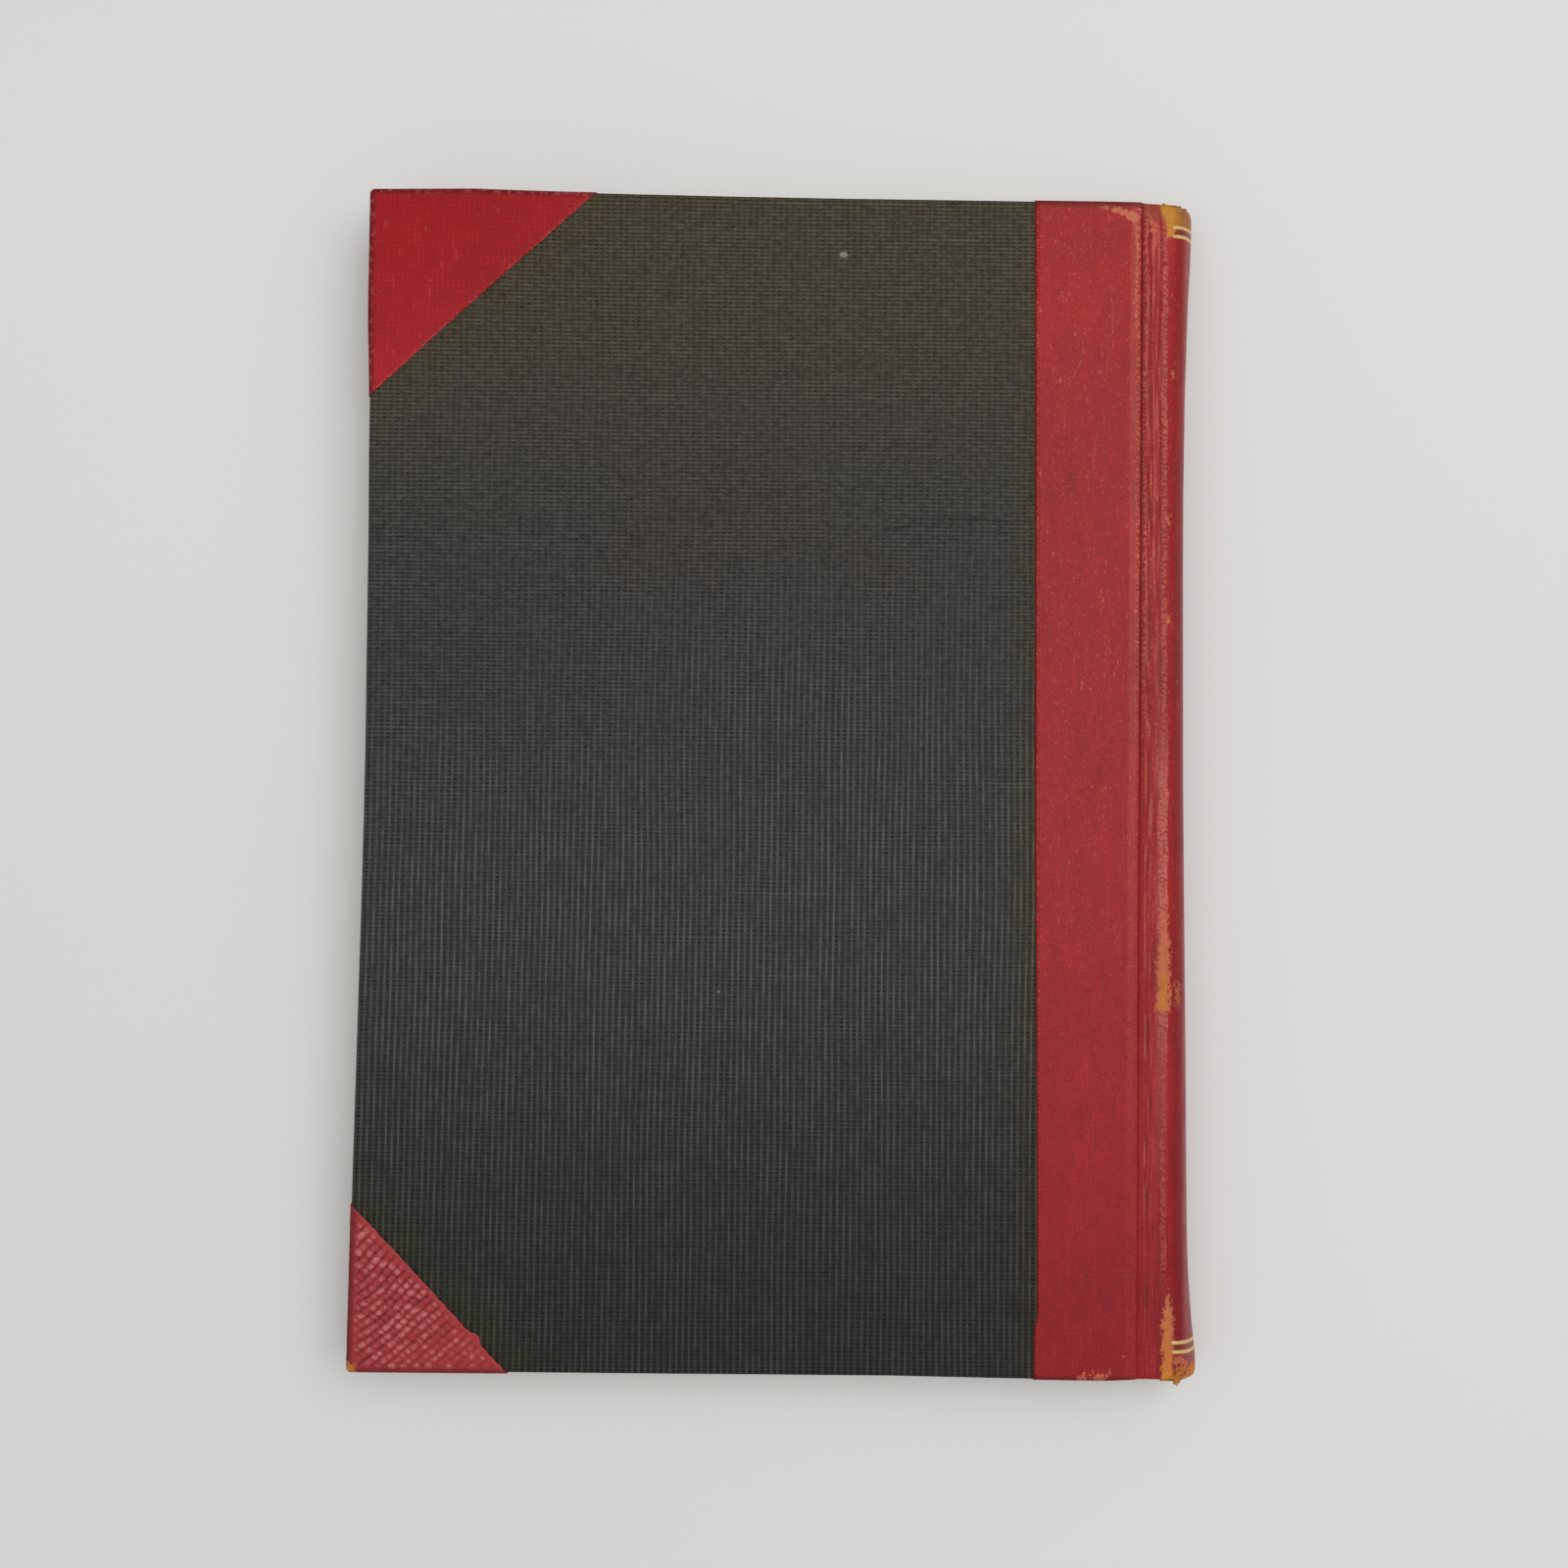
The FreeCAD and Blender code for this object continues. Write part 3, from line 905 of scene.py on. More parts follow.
ROW_PITCH = 0.76
RIB_PITCH = 1.17
# The cloth's three tones grade from darker at the tail to lighter at the head: a painted sheen
CLOTH_LOW = srgb(47, 47, 49)
CLOTH_MID = srgb(64, 64, 63)
CLOTH_SHEEN = srgb(76, 71, 62)
STAIN_TINT = (1.08, 1.0, 0.74, 1)
GREEN_TINT = (0.96, 1.03, 0.88, 1)
BROWN_TINT = (1.04, 0.99, 0.95, 1)
BLUE_TINT = (0.975, 1.0, 1.02, 1)


def cloth_material():
    s = Shader("side_cloth", roughness=0.6, specular=0.13)
    x, y = s.x, s.y
    region = y + s.noise(0.02, detail=2.0, shift=23) * 60.0 - x * 0.12
    lower = s.step(region, 95, 5)
    rib_sway = s.noise(0.05, (1, 0.4, 1), 1.0, shift=8) * 7.0
    row_sway = s.noise(0.05, (0.4, 1, 1), 1.0, shift=3) * 7.0
    ribs = s.wave(x, RIB_PITCH, rib_sway) ** 3.0
    rows = s.wave(y, ROW_PITCH, row_sway)
    rib_gain = s.spread(s.spots(0.3, 0.7, 0.9, (1, 0.22, 1), 2.0, 0.6, shift=5), 0.35, 1.3)
    row_gain = s.spread(s.spots(0.3, 0.7, 1.3, (0.6, 1, 1), 2.0, 0.6, shift=6), 0.1, 1.5)
    fine = s.noise(3.2, detail=2.0, roughness=0.75)
    bands = s.noise(0.5, (0.08, 1, 1), 3.0, 0.6, shift=17)
    # gap marks the holes between threads, which the tone below paints darker as painted shade
    gap = s.step(rows, 0.4, 0.05) * s.step(ribs, 0.5, 0.05) * s.spots(0.3, 0.62, 1.5, detail=3.0, shift=9)
    thin_row = s.spots(0.66, 0.76, 0.9, (0.035, 1, 1), 2.0, shift=37) * rows * 0.45
    tone = (0.13 + ribs * rib_gain * s.spread(lower, 0.15, 1.15) + fine * 0.95 + bands * 0.14 - gap * 0.5
            + rows * row_gain * s.spread(lower, 0.55, 0.28) + thin_row)
    tint = s.noise(0.02, detail=3.0, shift=11)
    ragged = s.spread(s.noise(0.2, detail=3.0, shift=2), -5.0, 5.0)
    by_head = s.step(abs(s.past(HEAD_CUT)) + ragged, 10.0, 0.5)
    by_tail = s.step(abs(s.past(TAIL_CUT)) + ragged, 10.0, 0.5)
    by_spine = s.step(BORDER - x + ragged, 6.0, 0.5)
    by_top = s.step(HALF - y + ragged, 6.0, 1.0) * 0.7
    # Painted sheen: the cloth darkens towards the tail and lightens towards the head
    colour = s.paint(CLOTH_LOW, (s.step(y, -112, -15), CLOTH_MID), (s.step(y, 10, 105), CLOTH_SHEEN))
    colour = s.paint(colour, (s.step(tint, 0.5, 0.68), BROWN_TINT),
                     (s.step(tint, 0.48, 0.34) * s.step(y, 10, -60), BLUE_TINT),
                     (s.most(by_head, by_spine, by_top), STAIN_TINT), (by_tail, GREEN_TINT),
                     (by_tail, STAIN_TINT), blend="MULTIPLY")
    creases = s.most(s.line((18.4, 47.4), (47.2, 51.1), 0.35), s.line((26.0, 48.0), (47.2, 46.5), 0.3),
                     s.line((30.0, 49.4), (47.2, 49.2), 0.25))
    scuffs = s.most(s.line((-77.5, 51.9), (-72.8, 52.3), 0.5), s.line((-69.5, 13.5), (-65.5, 13.9), 0.6))
    lint = s.spots(0.74, 0.79, 1.9, detail=1.0, shift=31)
    creases = creases * s.spots(0.38, 0.6, 0.5, (0.5, 2, 1), 3.0, shift=61)
    # Painted shade: the tone is darkened along the creases; the scuffs and lint are real marks
    tone = tone * s.spread(creases, 1.0, 0.6) + scuffs * 0.7 * s.step(fine, 0.4, 0.6) + lint * 0.9
    drop = s.distance(10.65, 99.9, 1.8)
    speck = s.distance(-11.4, -40.1)
    colour = s.paint(s.shade(colour, tone), (s.step(speck, 0.35, 0.2), srgb(120, 116, 108)),
                     (s.step(drop + fine * 0.5, 1.15, 0.85) * 0.75, srgb(150, 148, 142)))
    height = ribs * 0.6 + rows * 0.45 + fine * 0.3 - creases * 0.8
    return s.finish(colour, height, distance=0.14, strength=0.7)


# Siding reds from the head down to the tail; the lighter head is a painted sheen
SIDING_SHEEN = srgb(171, 32, 32)
SIDING_MID = srgb(165, 32, 37)
SIDING_DEEP = srgb(155, 29, 35)
RED_WORN = srgb(212, 116, 98)
RED_DARK = srgb(92, 18, 20)
SALMON = srgb(210, 114, 84)
ORANGE = srgb(210, 122, 60)
GOLD = srgb(208, 138, 44)
SMUDGE = srgb(174, 102, 56)
GOLD_LIGHT = srgb(226, 162, 66)
# Pinkish grey for a painted reflection on the far side of the spine's round
GRAZING_SHEEN_TINT = srgb(168, 108, 112)
# Colour for painted shade on rounded rims
RIM_SHADE = srgb(84, 16, 26)
FRAYED = srgb(186, 92, 96)
UMBER = srgb(138, 68, 34)


CHIPS = ((73.8, 77.9, 0.8), (72.7, 49.9, 0.9), (72.9, 31.1, 0.7), (72.6, 68.2, 0.6))


def spine_wear(s, rag, chip):
    """Depth in mm of the places worn through to the leather's core, negative where it is sound."""
    uneven = s.spread(rag, -2.2, 2.2) + s.spread(chip, -1.2, 1.2)
    half_width = s.spread(s.step(s.y, -92.0, -100.5), -0.2, 1.1)
    stripe = s.depth(END + 5.3 - half_width, END + 5.3 + half_width, -HALF - 20, -93.5)
    tail = s.depth(END + 4.1, END + 20, -HALF - 20, -108.3)
    middle_width = s.spread(s.step(s.y, -24, -34), 0.6, 1.2)
    middle = s.depth(END + 4.4 - middle_width, END + 4.4 + middle_width, -43.0, -24.0)
    small = s.depth(END + 6.7, END + 8.0, -42.5, -37.5)
    chips = [s.depth(x - 0.25, x + 0.25, y - r, y + r) for x, y, r in CHIPS]
    return s.most(stripe, tail, middle, small, *chips) + uneven


def strokes(s, centre, half, slant, phase, gate):
    """A column of short light strokes along y where the leather is rubbed."""
    sway = s.noise(0.7, detail=3.0, shift=phase) * 18.0
    turn = s.wave(s.y + s.x * slant, 1.1, sway)
    shift = s.spread(s.noise(0.3, (0, 1, 0), 3.0, shift=phase + 2), -0.6, 0.6)
    edge = s.near(s.x + shift, centre, half, 0.4)
    return edge * s.step(turn * 0.2 + gate, 0.54, 0.8)


SCRATCHES = (((56.1, 80.5), (53.5, 74.7), 0.09), ((61.9, 90.3), (62.1, 82.5), 0.09),
             ((59.0, 66.0), (58.2, 58.5), 0.08))


def spine_material():
    s = Shader("spine_leather_red", roughness=0.46, specular=0.22)
    x, y, z = s.x, s.y, s.z
    grain = s.noise(2.8, (1, 0.7, 1), 5.0, 0.8)
    streak = s.noise(1.0, (1, 0.13, 1), 4.0, 0.65, shift=4)
    cloud = s.noise(0.05, detail=2.0, shift=6)
    blotch = s.noise(0.35, (1, 0.5, 1), 3.0, shift=26)
    mesh = (s.wave(x, 0.85, cloud * 20.0) * s.wave(y, 0.8, cloud * 15.0)
            * s.spots(0.4, 0.65, 0.6, detail=2.0, shift=33) * s.spread(s.step(y, 40, -40), 0.05, 0.28))
    tone = -0.31 + grain * 1.5 + streak * 0.4 + blotch * 0.35 + cloud * 0.3 + mesh
    upper = s.step(y, -90, 30)
    long_fleck = s.spots(0.62, 0.74, 1.8, (1, 0.3, 1), 3.0, 0.6, shift=9)
    dots = s.noise(2.6, (1, 0.7, 1), 1.0, shift=19)
    marks = s.most(*[s.line(*ends, True) for ends in SCRATCHES])
    flecks = s.most(long_fleck * s.spread(upper, 0.1, 0.5), marks * s.step(dots, 0.4, 0.55) * 0.75,
                    s.step(dots, 0.68, 0.74) * s.spread(upper, 0.08, 0.6))

    # Lines and rubbed strokes along the joint, with painted shade in the groove and in the joint's creases;
    # out is the distance past the edge of the board
    out = x - END
    line_noise = s.noise(3.2, (1, 0.035, 1), 3.0, 0.6, shift=13)
    dotted = s.noise(2.2, (1, 0.8, 1), 3.0, 0.7, shift=14)
    slow = s.noise(0.12, (0.1, 1, 1), 2.0, shift=16)
    joint = s.within(out, 1.2, 3.6, 0.4)
    rubbed = joint * s.step(line_noise + dotted * 0.35, 0.66, 0.86) * s.spread(upper, 0.15, 0.6)
    top_half = s.step(y, -15, 40)
    board_edge = strokes(s, END - 0.6, 0.25, 0.3, 40, dotted) * s.spread(top_half, 0.1, 0.8)
    joint_edge = strokes(s, END + 0.85, 0.2, -0.2, 50, dotted) * s.spread(top_half, 0.0, 0.8)
    gate = dotted + slow * 0.2
    fine_ridge = strokes(s, END + 4.3, 0.3, 0.15, 60, gate) * s.spread(upper, 0.4, 0.6)
    broad_ridge = strokes(s, END + 4.2, 0.7, 0.15, 70, gate + 0.05) * s.near(y, -22, 18, 22) * 0.75
    ridge = s.most(fine_ridge, broad_ridge) * s.step(y, -97, -88)
    haze = s.near(out, -1.4, 0.4, 0.7) * s.spread(upper, 0.03, 0.18)
    ridge_haze = s.near(out, 4.0, 0.7, 0.6) * s.near(y, -25, 25, 35) * 0.2
    light_line = s.near(out, 1.3, 0.02, 0.13) * s.step(slow, 0.42, 0.55) * s.step(y, -100, -70)
    # Painted shade: a dark band along the bottom of the groove and dark lines in the joint's creases
    groove_shade_line = s.near(out, 0.3, 0.2, 0.45) * s.spread(s.step(y, -60, 40), 0.12, 0.55)
    valley_shade_line = s.near(out, 1.75, 0.05, 0.2) * s.step(slow, 0.4, 0.6) * 0.6
    wrinkle_shade_lines = joint * s.step(line_noise, 0.42, 0.3) * 0.55
    # Painted shade on the siding's cut edge along the cloth
    border_edge_shade = s.step(x, BORDER + 0.3, BORDER + 0.1) * 0.4
    between_strokes = s.near(out, 3.95, 0.55, 0.4) * (1.0 - ridge) * 0.18
    specks = s.near(x, BORDER + 0.45, 0.1, 0.15) * s.step(dotted, 0.52, 0.62) * s.spread(upper, 0.2, 0.7)
    # Base red with a painted sheen lighter towards the head, then wear, painted shade lines and salmon specks
    colour = s.paint(SIDING_DEEP, (s.step(y, -110, -20), SIDING_MID), (s.step(y, 20, 100), SIDING_SHEEN),
                     (flecks, RED_WORN),
                     (s.most(rubbed, board_edge, joint_edge, ridge, haze, ridge_haze), RED_WORN),
                     (light_line * 0.55, SALMON),
                     # RED_DARK paints the shade lines above and the darker leather between the ridge's
                     # strokes
                     (s.most(groove_shade_line, valley_shade_line, wrinkle_shade_lines, border_edge_shade, between_strokes), RED_DARK),
                     (specks, SALMON))

    # Places worn through to the core
    rag = s.noise(1.15, (1, 0.7, 1), 5.0, 0.72, shift=21)
    chip = s.noise(3.0, detail=2.0, roughness=0.6, shift=22)
    facing = s.step(z + s.spread(rag, -1.5, 1.5), MID - 2.8, MID - 2.2)
    wear = spine_wear(s, rag, chip)
    islands = (s.spots(0.46, 0.52, 0.8, detail=4.0, roughness=0.7, shift=41)
               * s.within(out, 6.2, 10.0, 0.4) * s.step(y, -110.6, -109.8))
    patches = s.depth(END + 6.0, END + 9.5, -108.6, -106.6) + s.spread(rag, -2.6, 2.0) + s.spread(chip, -1, 1)
    worn = s.most(s.step(wear, -0.1, 0.12) * s.spread(islands, 1.0, 0.1), s.step(patches, -0.1, 0.1)) * facing
    inner = wear + dotted * 1.6 + s.step(y, -103, -107) * 0.7 - s.near(y, -28, 6, 4) * 0.6
    core = s.paint(SALMON, (s.step(inner, 1.1, 1.8), ORANGE),
                   (s.step(y, -34, -40) * s.step(y, -46, -44) * s.step(inner, 1.0, 1.5) * 0.45, GOLD),
                   (s.step(chip, 0.58, 0.7) * 0.35, UMBER),
                   (s.step(y, -108.8, -109.8) * s.step(chip, 0.35, 0.6), GOLD))

    # The gold patch at the head cap
    head_left = s.spread(s.step(y, HALF - 6, HALF), END + 4.7, END + 3.3)
    head_low = s.spread(s.step(out, 5.8, 6.8), HALF - 6.2, HALF - 4.3)
    head = s.depth(head_left, END + 20, head_low, HALF + 20)
    smudge = s.noise(0.55, detail=3.0, shift=51)
    gold = s.paint(GOLD, (s.step(x * 0.25 + smudge + rag * 0.3, 19.1, 19.8), SMUDGE),
                   (s.step(rag, 0.5, 0.62) * 0.4, GOLD_LIGHT), (s.step(chip, 0.55, 0.68) * 0.45, UMBER))
    head_edge = s.step(head + s.spread(rag, -0.8, 0.8), -0.35, 0.5)
    crumbs = s.step(head + s.spread(rag, -2.6, 2.6), -0.1, 0.2) * 0.7

    # Salmon places: the band at the head, flecks at both ends and by the edge of the board
    band_x = x - 59.5
    band_middle = HALF - 1.3 - band_x * band_x * 0.044
    band_half = s.spread(s.step(x, 61, 66), 0.1, 0.95)
    band = s.least(band_half - abs(y - band_middle), END - 0.9 - x, band_x + 0.3)
    joint_flecks = s.depth(END + 0.3, END + 3.4, HALF - 6.5, HALF - 1.0)
    tail_flecks = s.depth(END - 12.6, END - 4.6, -HALF - 4, -HALF + 2.3)
    edge_specks = s.depth(END - 1.8, END - 0.2, HALF - 25, HALF - 4)
    pink = s.most(band + s.spread(rag, -1.9, 2.2) + s.spread(chip, -0.8, 0.8),
                  joint_flecks + s.spread(rag, -5.3, 2.7) + s.spread(chip, -0.9, 0.9),
                  tail_flecks + s.spread(rag, -5.6, 3.1), edge_specks + s.spread(dotted, -3.0, 1.7),
                  s.depth(65.0, 65.5, -106.8, -106.35))
    worn_pink = s.step(pink, 0.0, 0.2) * s.step(z, MID - 1, MID + 1)

    browned = s.step(y, HALF - 4.5, HALF - 1.5) * s.near(out, 2.4, 1.6, 1.2) * 0.5
    between_head = s.within(y, HALF - 6.2, HALF - 4.4, 0.2) * s.step(out, 5.2, 6.5) * 0.75
    between_tail = (s.within(y, -HALF + 4.6, -HALF + 6.8, 0.3) * s.step(out, 5.5, 6.2)
                    * s.step(out, 9.6, 8.2) * 0.85)
    # Painted reflection: a pinkish-grey sheen over the far side of the round, kept off the worn places
    grazing_sheen = (s.step(out, 7.8, 9.4) * (1.0 - s.most(worn, head_edge))
             * s.step(z, MID - 5.5, MID - 0.5) * s.spread(s.step(blotch, 0.35, 0.65), 0.3, 0.6))
    colour = s.paint(colour, (worn_pink, SALMON), (s.most(browned, between_head, between_tail), UMBER),
                     (worn, core), (crumbs * facing, SMUDGE), (head_edge * facing, gold), (grazing_sheen, GRAZING_SHEEN_TINT))
    # Painted shade: the round of the spine is darkened where it turns away from the light
    colour = s.shade(colour, 1.0 - s.within(out, 6.2, 8.6, 0.8) * 0.22)
    # Painted shade on the rounded head and tail edges of the siding
    rim_shade = s.most(s.step(y, HALF - 1.7, HALF - 0.6) * 0.65, s.step(y, -HALF + 1.2, -HALF + 0.5) * 0.45)
    colour = s.mix(rim_shade * s.step(out, 0.3, -0.6), colour, RIM_SHADE)
    calm = s.most(head_edge * 0.5, worn * 0.55, worn_pink * 0.5)
    colour = s.shade(colour, tone * s.spread(calm, 1.0, 0.0) + calm * 0.98)
    height = grain * 0.5 + streak * 0.5 - worn * 0.8 + ridge * 0.3
    return s.finish(colour, height, distance=0.12, strength=0.6, roughness=s.spread(worn, 0.46, 0.75))


CORNER_RED = srgb(166, 22, 26)
# Pebble reds: painted shade for the valleys, the leather's own red, painted highlight for the tops
PEBBLE_SHADE = srgb(92, 12, 18)
PEBBLE_MID = srgb(172, 54, 57)
PEBBLE_HIGHLIGHT = srgb(230, 152, 150)


def edge_rim(s, sign):
    """1 on the rounded rim of the board next to a corner, from its distance to the nearer edge; the corners
    paint shade on that rim with it, and fray it.
    """
    edge = s.least(s.x - FORE, s.y * -sign + HALF)
    return s.step(edge, 1.6, 0.5)


def head_corner_material():
    s = Shader("head_corner_leather", roughness=0.42, specular=0.16)
    weave = (s.wave(s.x, 0.95, s.noise(0.1, detail=1.0) * 9.0)
             * s.wave(s.y, 0.95, s.noise(0.1, detail=1.0, shift=3) * 9.0))
    grain = s.noise(2.0, detail=3.0, roughness=0.6)
    faint = s.noise(0.1, detail=3.0, shift=5)
    patchy = s.spots(0.4, 0.65, 0.4, detail=3.0, shift=15)
    tone = 0.4 + grain * 0.75 + weave * patchy * 0.3 + faint * 0.35
    flecks = s.spots(0.7, 0.77, 1.5, detail=2.0, shift=12)
    # rim feeds painted shade on the board's rounded rim and, where frayed, its wear
    rim = edge_rim(s, 1)
    frayed_rim = rim * s.spots(0.52, 0.62, 0.9, detail=3.0, shift=7)
    fray = s.step(abs(s.past(HEAD_CUT)), 0.55, 0.1) * s.spots(0.38, 0.6, 1.2, detail=3.0)
    scratches = (s.most(s.spots(0.64, 0.76, 1.6, (1, 0.12, 1), 3.0, shift=52),
                        s.spots(0.66, 0.78, 1.6, (0.12, 1, 1), 3.0, shift=53)) * patchy * 0.45)
    # Painted sheen: the lower part of the corner is painted lighter
    colour = s.paint(CORNER_RED, (s.step(s.y, 104, 74) * 0.5, srgb(178, 36, 46)),
                     (s.most(flecks * 0.5, scratches), RED_WORN), (rim * 0.65, RIM_SHADE),
                     (s.most(frayed_rim * 0.45, fray * 0.5), FRAYED))
    return s.finish(s.shade(colour, tone), weave * 0.6 + grain, distance=0.06, strength=0.5)


def tail_corner_material():
    s = Shader("tail_corner_leather", roughness=0.4, specular=0.22)
    grain = s.noise(2.2, detail=3.0, roughness=0.65)
    raised = s.node("Attribute", {}, "Fac", attribute_name="relief")
    glint = s.noise(2.4, (1, 1, 1), 4.0, 0.75, shift=44)
    margin = s.step(s.x + s.noise(0.3, shift=3) * 1.5, FORE + 2.4, FORE + 1.2)
    tip = s.distance(FORE, -HALF) + s.noise(0.9, detail=4.0, roughness=0.7) * 3.0
    fray = s.step(abs(s.past(TAIL_CUT)), 0.5, 0.1) * s.spots(0.4, 0.6, 1.2, detail=3.0)
    # Painted shade in the pebbles' valleys and painted highlight on their tops and glints; painted shade on
    # the rim; the margin, fraying and worn tip are real
    colour = s.paint(PEBBLE_SHADE, (s.step(raised, 0.02, 0.42), PEBBLE_MID),
                     (s.step(raised, 0.45, 0.95) * 0.42, PEBBLE_HIGHLIGHT),
                     (s.step(raised, 0.45, 0.7) * s.step(glint, 0.5, 0.62) * 0.6, PEBBLE_HIGHLIGHT),
                     (margin, srgb(154, 42, 46)), (fray * 0.4, FRAYED), (edge_rim(s, -1) * 0.55, RIM_SHADE),
                     (s.step(tip, 3.9, 3.4), s.mix(s.step(grain, 0.4, 0.6), SMUDGE, GOLD)))
    return s.finish(s.shade(colour, 0.5 + grain), grain, distance=0.08, strength=0.6)


def leaves_material():
    """Cut edges of the leaves: fine lines parallel to the covers."""
    s = Shader("page_edges", roughness=0.85, specular=0.12)
    lines = s.noise(5.0, (0.003, 0.003, 1), 3.0, 0.75)
    broad = s.noise(1.2, (0.006, 0.006, 1), 2.0, shift=3)
    dirt = s.noise(0.05, (1, 1, 3), 4.0, shift=8)
    tone = 0.1 + lines * 0.95 + broad * 0.55 + dirt * 0.2
    colour = s.mix(s.step(dirt, 0.4, 0.65), srgb(216, 202, 170), srgb(198, 178, 138))
    return s.finish(s.shade(colour, tone), lines, distance=0.05, strength=0.6)


def paper_material(name, tint, on_cad=True):
    s = Shader(name, on_cad, roughness=0.85, specular=0.12)
    fibre = s.noise(3.0, detail=3.0, roughness=0.7)
    cloud = s.noise(0.03, detail=3.0, shift=5)
    rim = s.noise(0.4, detail=4.0, shift=9)
    foxed = s.spots(0.7, 0.78, 0.35, detail=4.0, roughness=0.75, shift=14)
    tone = 0.8 + fibre * 0.1 + cloud * 0.22 + rim * 0.05
    colour = s.mix(foxed * 0.35, tint, srgb(176, 140, 92))
    return s.finish(s.shade(colour, tone), fibre, distance=0.03, strength=0.4)


def board_material():
    s = Shader("pasteboard", roughness=0.9, specular=0.1)
    fibre = s.noise(1.5, (1, 1, 4), 3.0, 0.7)
    return s.finish(s.shade(srgb(150, 132, 104), 0.7 + fibre * 0.5), fibre)


def woven_material(name, tint, on_cad=True):
    s = Shader(name, on_cad, roughness=0.85, specular=0.1)
    weave = s.wave(s.y, 0.8) + s.wave(s.x + s.z, 0.8)
    return s.finish(s.shade(tint, 0.6 + weave * 0.2), weave, distance=0.08)


def band_material():
    """Thread wound in turns: a tint that changes a little from turn to turn."""
    s = Shader("end_band_thread", roughness=0.6, specular=0.2)
    turn = s.spots(0.35, 0.65, 1.0, (1, 0, 0), 1.0)
    fibre = s.noise(4.0, (4, 1, 1), 2.0)
    colour = s.mix(turn, srgb(206, 190, 150), srgb(176, 152, 108))
    return s.finish(s.shade(colour, 0.6 + fibre * 0.6), fibre, distance=0.03)


def gilt_material():
    s = Shader("gilt", roughness=0.42, specular=0.4, metallic=0.25)
    worn = s.spots(0.58, 0.68, 1.4, detail=3.0)
    colour = s.mix(worn * 0.5, srgb(238, 198, 132), srgb(176, 104, 56))
    return s.finish(colour, s.noise(2.0), distance=0.03)


def core_material(name, tint):
    """Raw fibres of torn leather or thread."""
    s = Shader(name, roughness=0.85, specular=0.1)
    fibre = s.noise(2.5, (1, 0.3, 1), 3.0, 0.7)
    return s.finish(s.shade(tint, 0.45 + fibre), fibre, distance=0.06)


def floor_material():
    s = Shader("floor", True, roughness=0.9, specular=0.1)
    soft = s.noise(0.004, detail=2.0)
    return s.finish(s.shade((0.8, 0.8, 0.785, 1), s.spread(soft, 0.97, 1.03)))


def give(obj, material):
    obj.data.materials.clear()
    obj.data.materials.append(material)
    for polygon in obj.data.polygons:
        polygon.material_index = 0


def dress(obj, material, slot, body=None, replaced=()):
    """Give a new piece its material and body, and hide the CAD nodes that it stands for. The slot is not
    used.
    """
    give(obj, material)
    if body:
        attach(obj, body)
    if replaced:
        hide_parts(*replaced)
    return obj


# Build: covers
SPINE_RED = spine_material()
PAPER = paper_material("endpaper", srgb(220, 208, 180))
PAPER_FOLD = paper_material("endpaper_fold", srgb(220, 208, 180), False)
MULL = woven_material("mull", srgb(214, 200, 170), False)
GILT = gilt_material()
COVER_LOOKS = {"cloth_side": (cloth_material(), "side_cloth"),
               "head_corner": (head_corner_material(), "corner_leather"),
               "tail_corner": (tail_corner_material(), "corner_leather"),
               "board": (board_material(), "pasteboard")}

for side, prefix in PREFIX.items():
    for node, piece in {**make_cover(side), "board": board(side)}.items():
        dress(piece, *COVER_LOOKS[node], f"{prefix}_cover", (f"{prefix}_{node}",))

# Build: what bends across the joints
PAPER_SKIN = 0.15
MULL_SKIN = 0.2
MULL_HALF_LENGTH = 94.0
LINING_SKIN = 0.25
PAPER_PATH = ((PASTE_HIGH.x - 1.5, PASTE_LOW.z + 0.05), (PASTE_HIGH.x, PASTE_LOW.z + 0.05),
              (PASTE_HIGH.x + 1.2, PASTE_LOW.z + 0.08), (SHOULDER - 1.9, LEAF_HIGH.z - 0.65),
              (SHOULDER - 0.5, LEAF_HIGH.z - 0.02), (SHOULDER + 0.1, LEAF_HIGH.z + 0.1))
MULL_PATH = ((PASTE_HIGH.x - 1.0, INNER + 0.12), (PASTE_HIGH.x + 0.3, INNER + 0.12),
             (PASTE_HIGH.x + 1.5, INNER + 0.3), (SHOULDER - 1.9, LEAF_HIGH.z - 0.3),
             (SHOULDER - 0.5, LEAF_HIGH.z + 0.3), (SHOULDER + 0.2, LEAF_HIGH.z + 0.36))

for side, prefix in PREFIX.items():
    leather = spine_sheet(f"{prefix}_spine_sheet", side)
    fold = joint_strip(f"{prefix}_endpaper_fold", side, PAPER_PATH, PASTE_HIGH.y, PAPER_SKIN)
    mull = joint_strip(f"{prefix}_mull_hinge", side, MULL_PATH, MULL_HALF_LENGTH, MULL_SKIN)
    replaced = (f"{prefix}_spine_siding", "spine_leather") if side > 0 else (f"{prefix}_spine_siding",)
    for piece, material, slot in ((leather, SPINE_RED, "spine_leather"), (fold, PAPER_FOLD, "endpaper"),
                                  (mull, MULL, "mull")):
        dress(piece, material, slot)
        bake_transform(piece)
    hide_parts(*replaced)

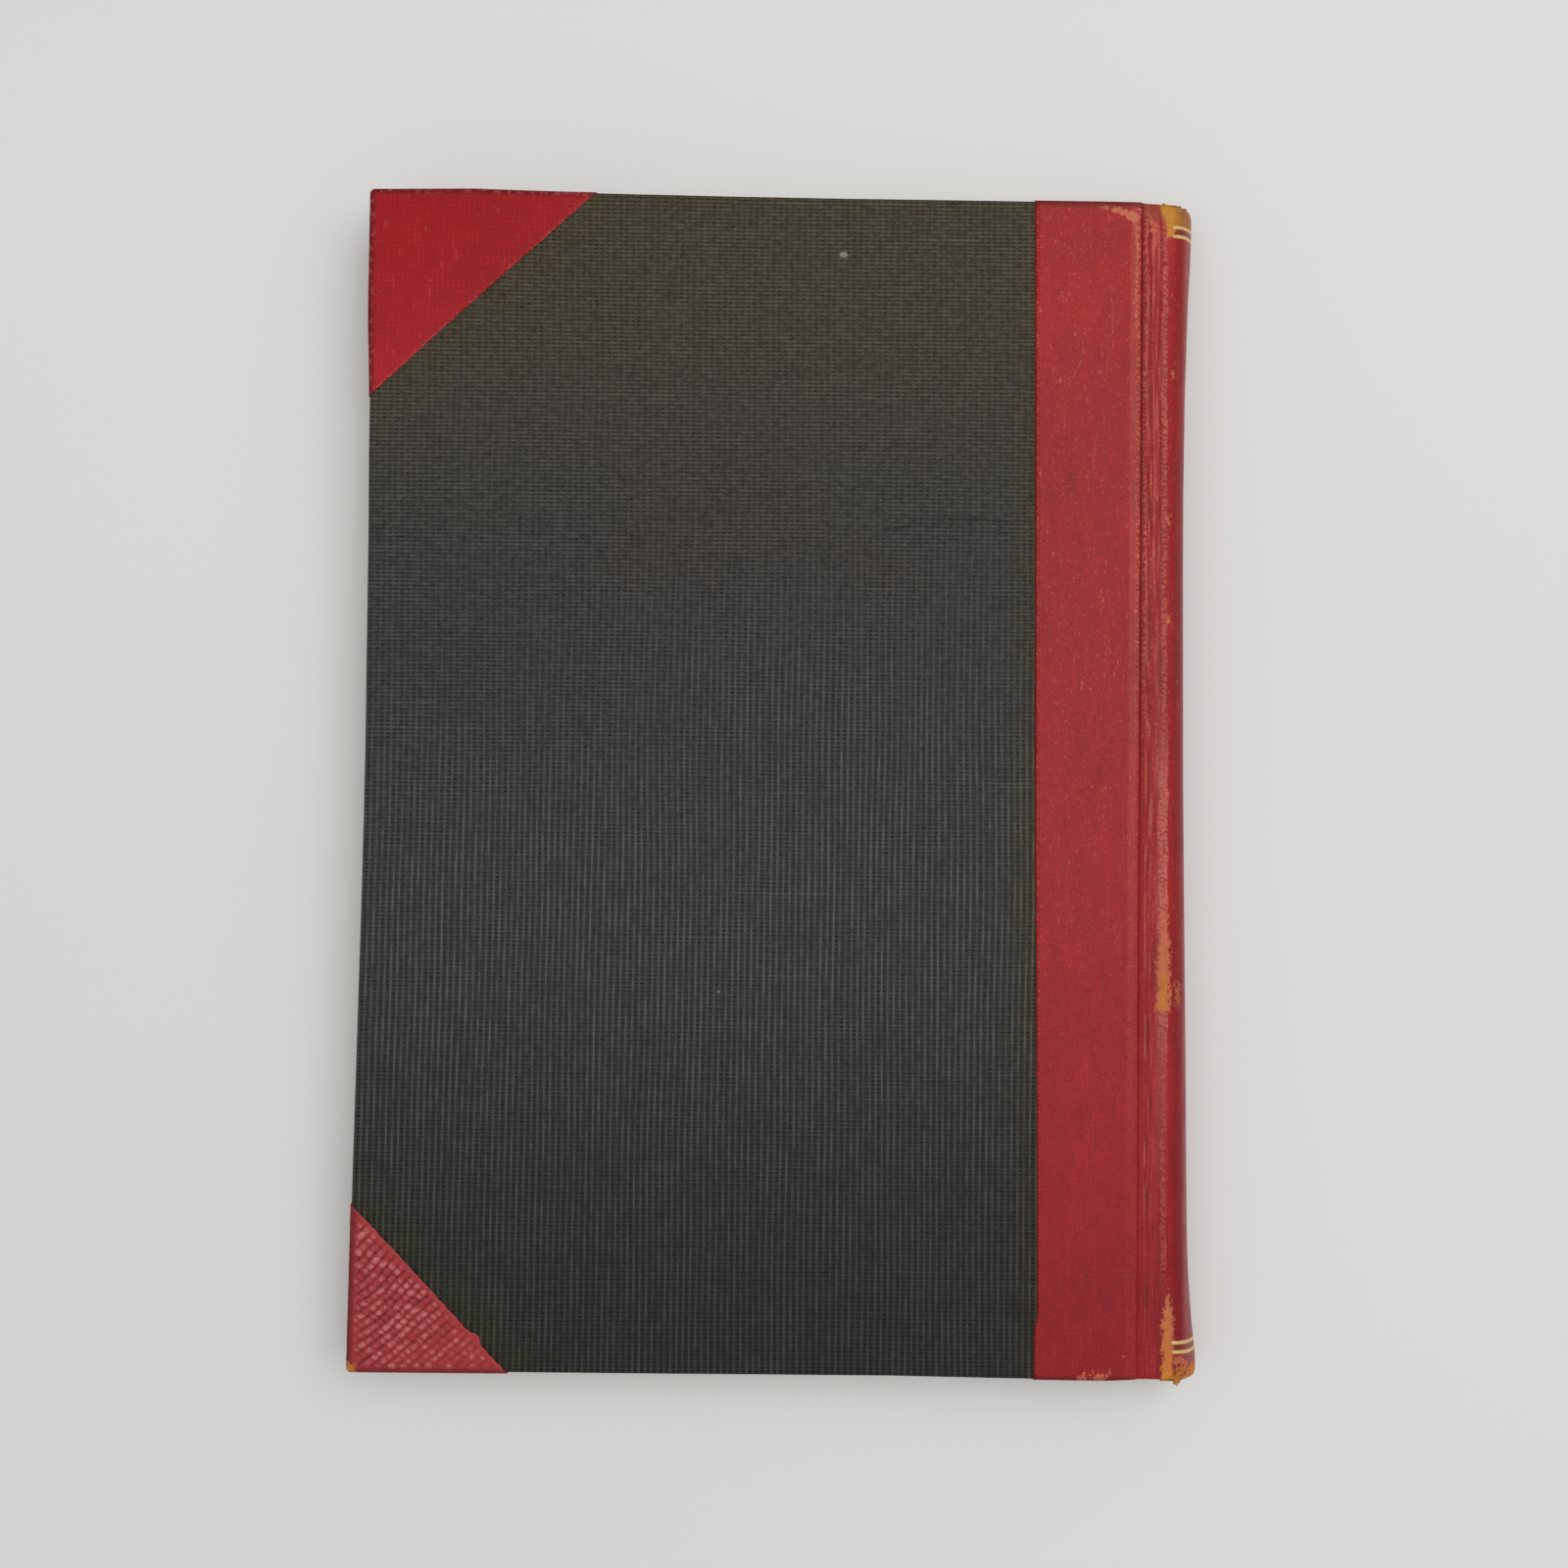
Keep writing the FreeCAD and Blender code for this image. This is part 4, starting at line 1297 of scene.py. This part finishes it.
# Build: book block
dress(leaf_block(), leaves_material(), "page_paper", "book_block", ("text_block",))
LINING = swept_sheet("spine_lining_cloth", back_arc(LINING_HIGH.x - BLOCK_HIGH.x, 0.98), LINING_LOW.y,
                     LINING_HIGH.y, STRIP_ROWS, LINING_SKIN)
dress(LINING, MULL, "mull", "book_block", ("spine_lining",))
BAND_THREAD = band_material()
for name, sign in (("head_band", 1), ("tail_band", -1)):
    dress(end_band(f"{name}_thread", sign), BAND_THREAD, "end_band", "book_block", (name,))
for node in [f"{end}_gilt_line_{place}" for end in ("head", "tail") for place in ("outer", "inner")]:
    dress(gilt_line(node), GILT, "gilt", "book_block", (node,))
dress(torn_tag(), core_material("torn_leather", srgb(206, 128, 56)), "spine_leather", "book_block")
dress(loose_thread(), core_material("thread", srgb(150, 110, 60)), "spine_leather", "book_block")

# Build: CAD nodes that stay
TAPE = woven_material("sewing_tape", srgb(222, 210, 182))
MULL_FLANGE = woven_material("mull_flange", srgb(214, 200, 170))
CARD = paper_material("inlay_card", srgb(150, 132, 108))
KEPT = {"flyleaf": PAPER, "pastedown": PAPER, "sewing_tape": TAPE, "mull_flange": MULL_FLANGE,
        "inlay": CARD, "infill": CARD}
for name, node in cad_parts.items():
    for word, material in KEPT.items():
        if word in name:
            give(node, material)


# Floor, light and camera
FLOOR_SIZE = 6.0
KEY = {"place": (0.42, 0.26, 1.06), "size": 1.1, "power": 7.9}
FILL = {"place": (-0.5, -0.1, 1.1), "size": 0.9, "power": 2.4}
SKY = 0.33


def make_floor():
    mesh = bpy.data.meshes.new("floor")
    h = FLOOR_SIZE / 2
    mesh.from_pydata([(-h, -h, 0), (h, -h, 0), (h, h, 0), (-h, h, 0)], [], [(0, 1, 2, 3)])
    floor = linked("floor", mesh)
    give(floor, floor_material())


def area_light(name, place, size, power):
    data = bpy.data.lights.new(name, "AREA")
    data.shape = "SQUARE"
    data.size = size
    data.energy = power
    light = linked(name, data)
    light.location = place
    light.rotation_euler = Vector(place).to_track_quat("Z", "Y").to_euler()


def make_lights():
    world = bpy.data.worlds.new("studio")
    bpy.context.scene.world = world
    world.use_nodes = True
    background = world.node_tree.nodes["Background"]
    background.inputs["Color"].default_value = (1.0, 1.0, 1.0, 1)
    background.inputs["Strength"].default_value = SKY
    area_light("key", **KEY)
    area_light("fill", **FILL)


# Camera fitted to the four corners of the back cover, in mm from its spine edge and face
CAMERA_PLACE = (-69.99, -12.95, 306.66)
CAMERA_TURN = (0.03856, -0.00911, 0.01138)
FOCAL_PX = 1666
IMAGE_PX = 1600
SENSOR = 36.0


def make_camera():
    data = bpy.data.cameras.new("camera")
    data.sensor_width = SENSOR
    data.lens = SENSOR * FOCAL_PX / IMAGE_PX
    data.clip_start = 0.01
    camera = linked("camera", data)
    x, y, z = CAMERA_PLACE
    camera.location = ((END + x) * MM, y * MM, (TOP + z) * MM)
    camera.rotation_euler = CAMERA_TURN
    bpy.context.scene.camera = camera


make_floor()
make_lights()
make_camera()
bpy.context.scene.view_settings.view_transform = "Standard"
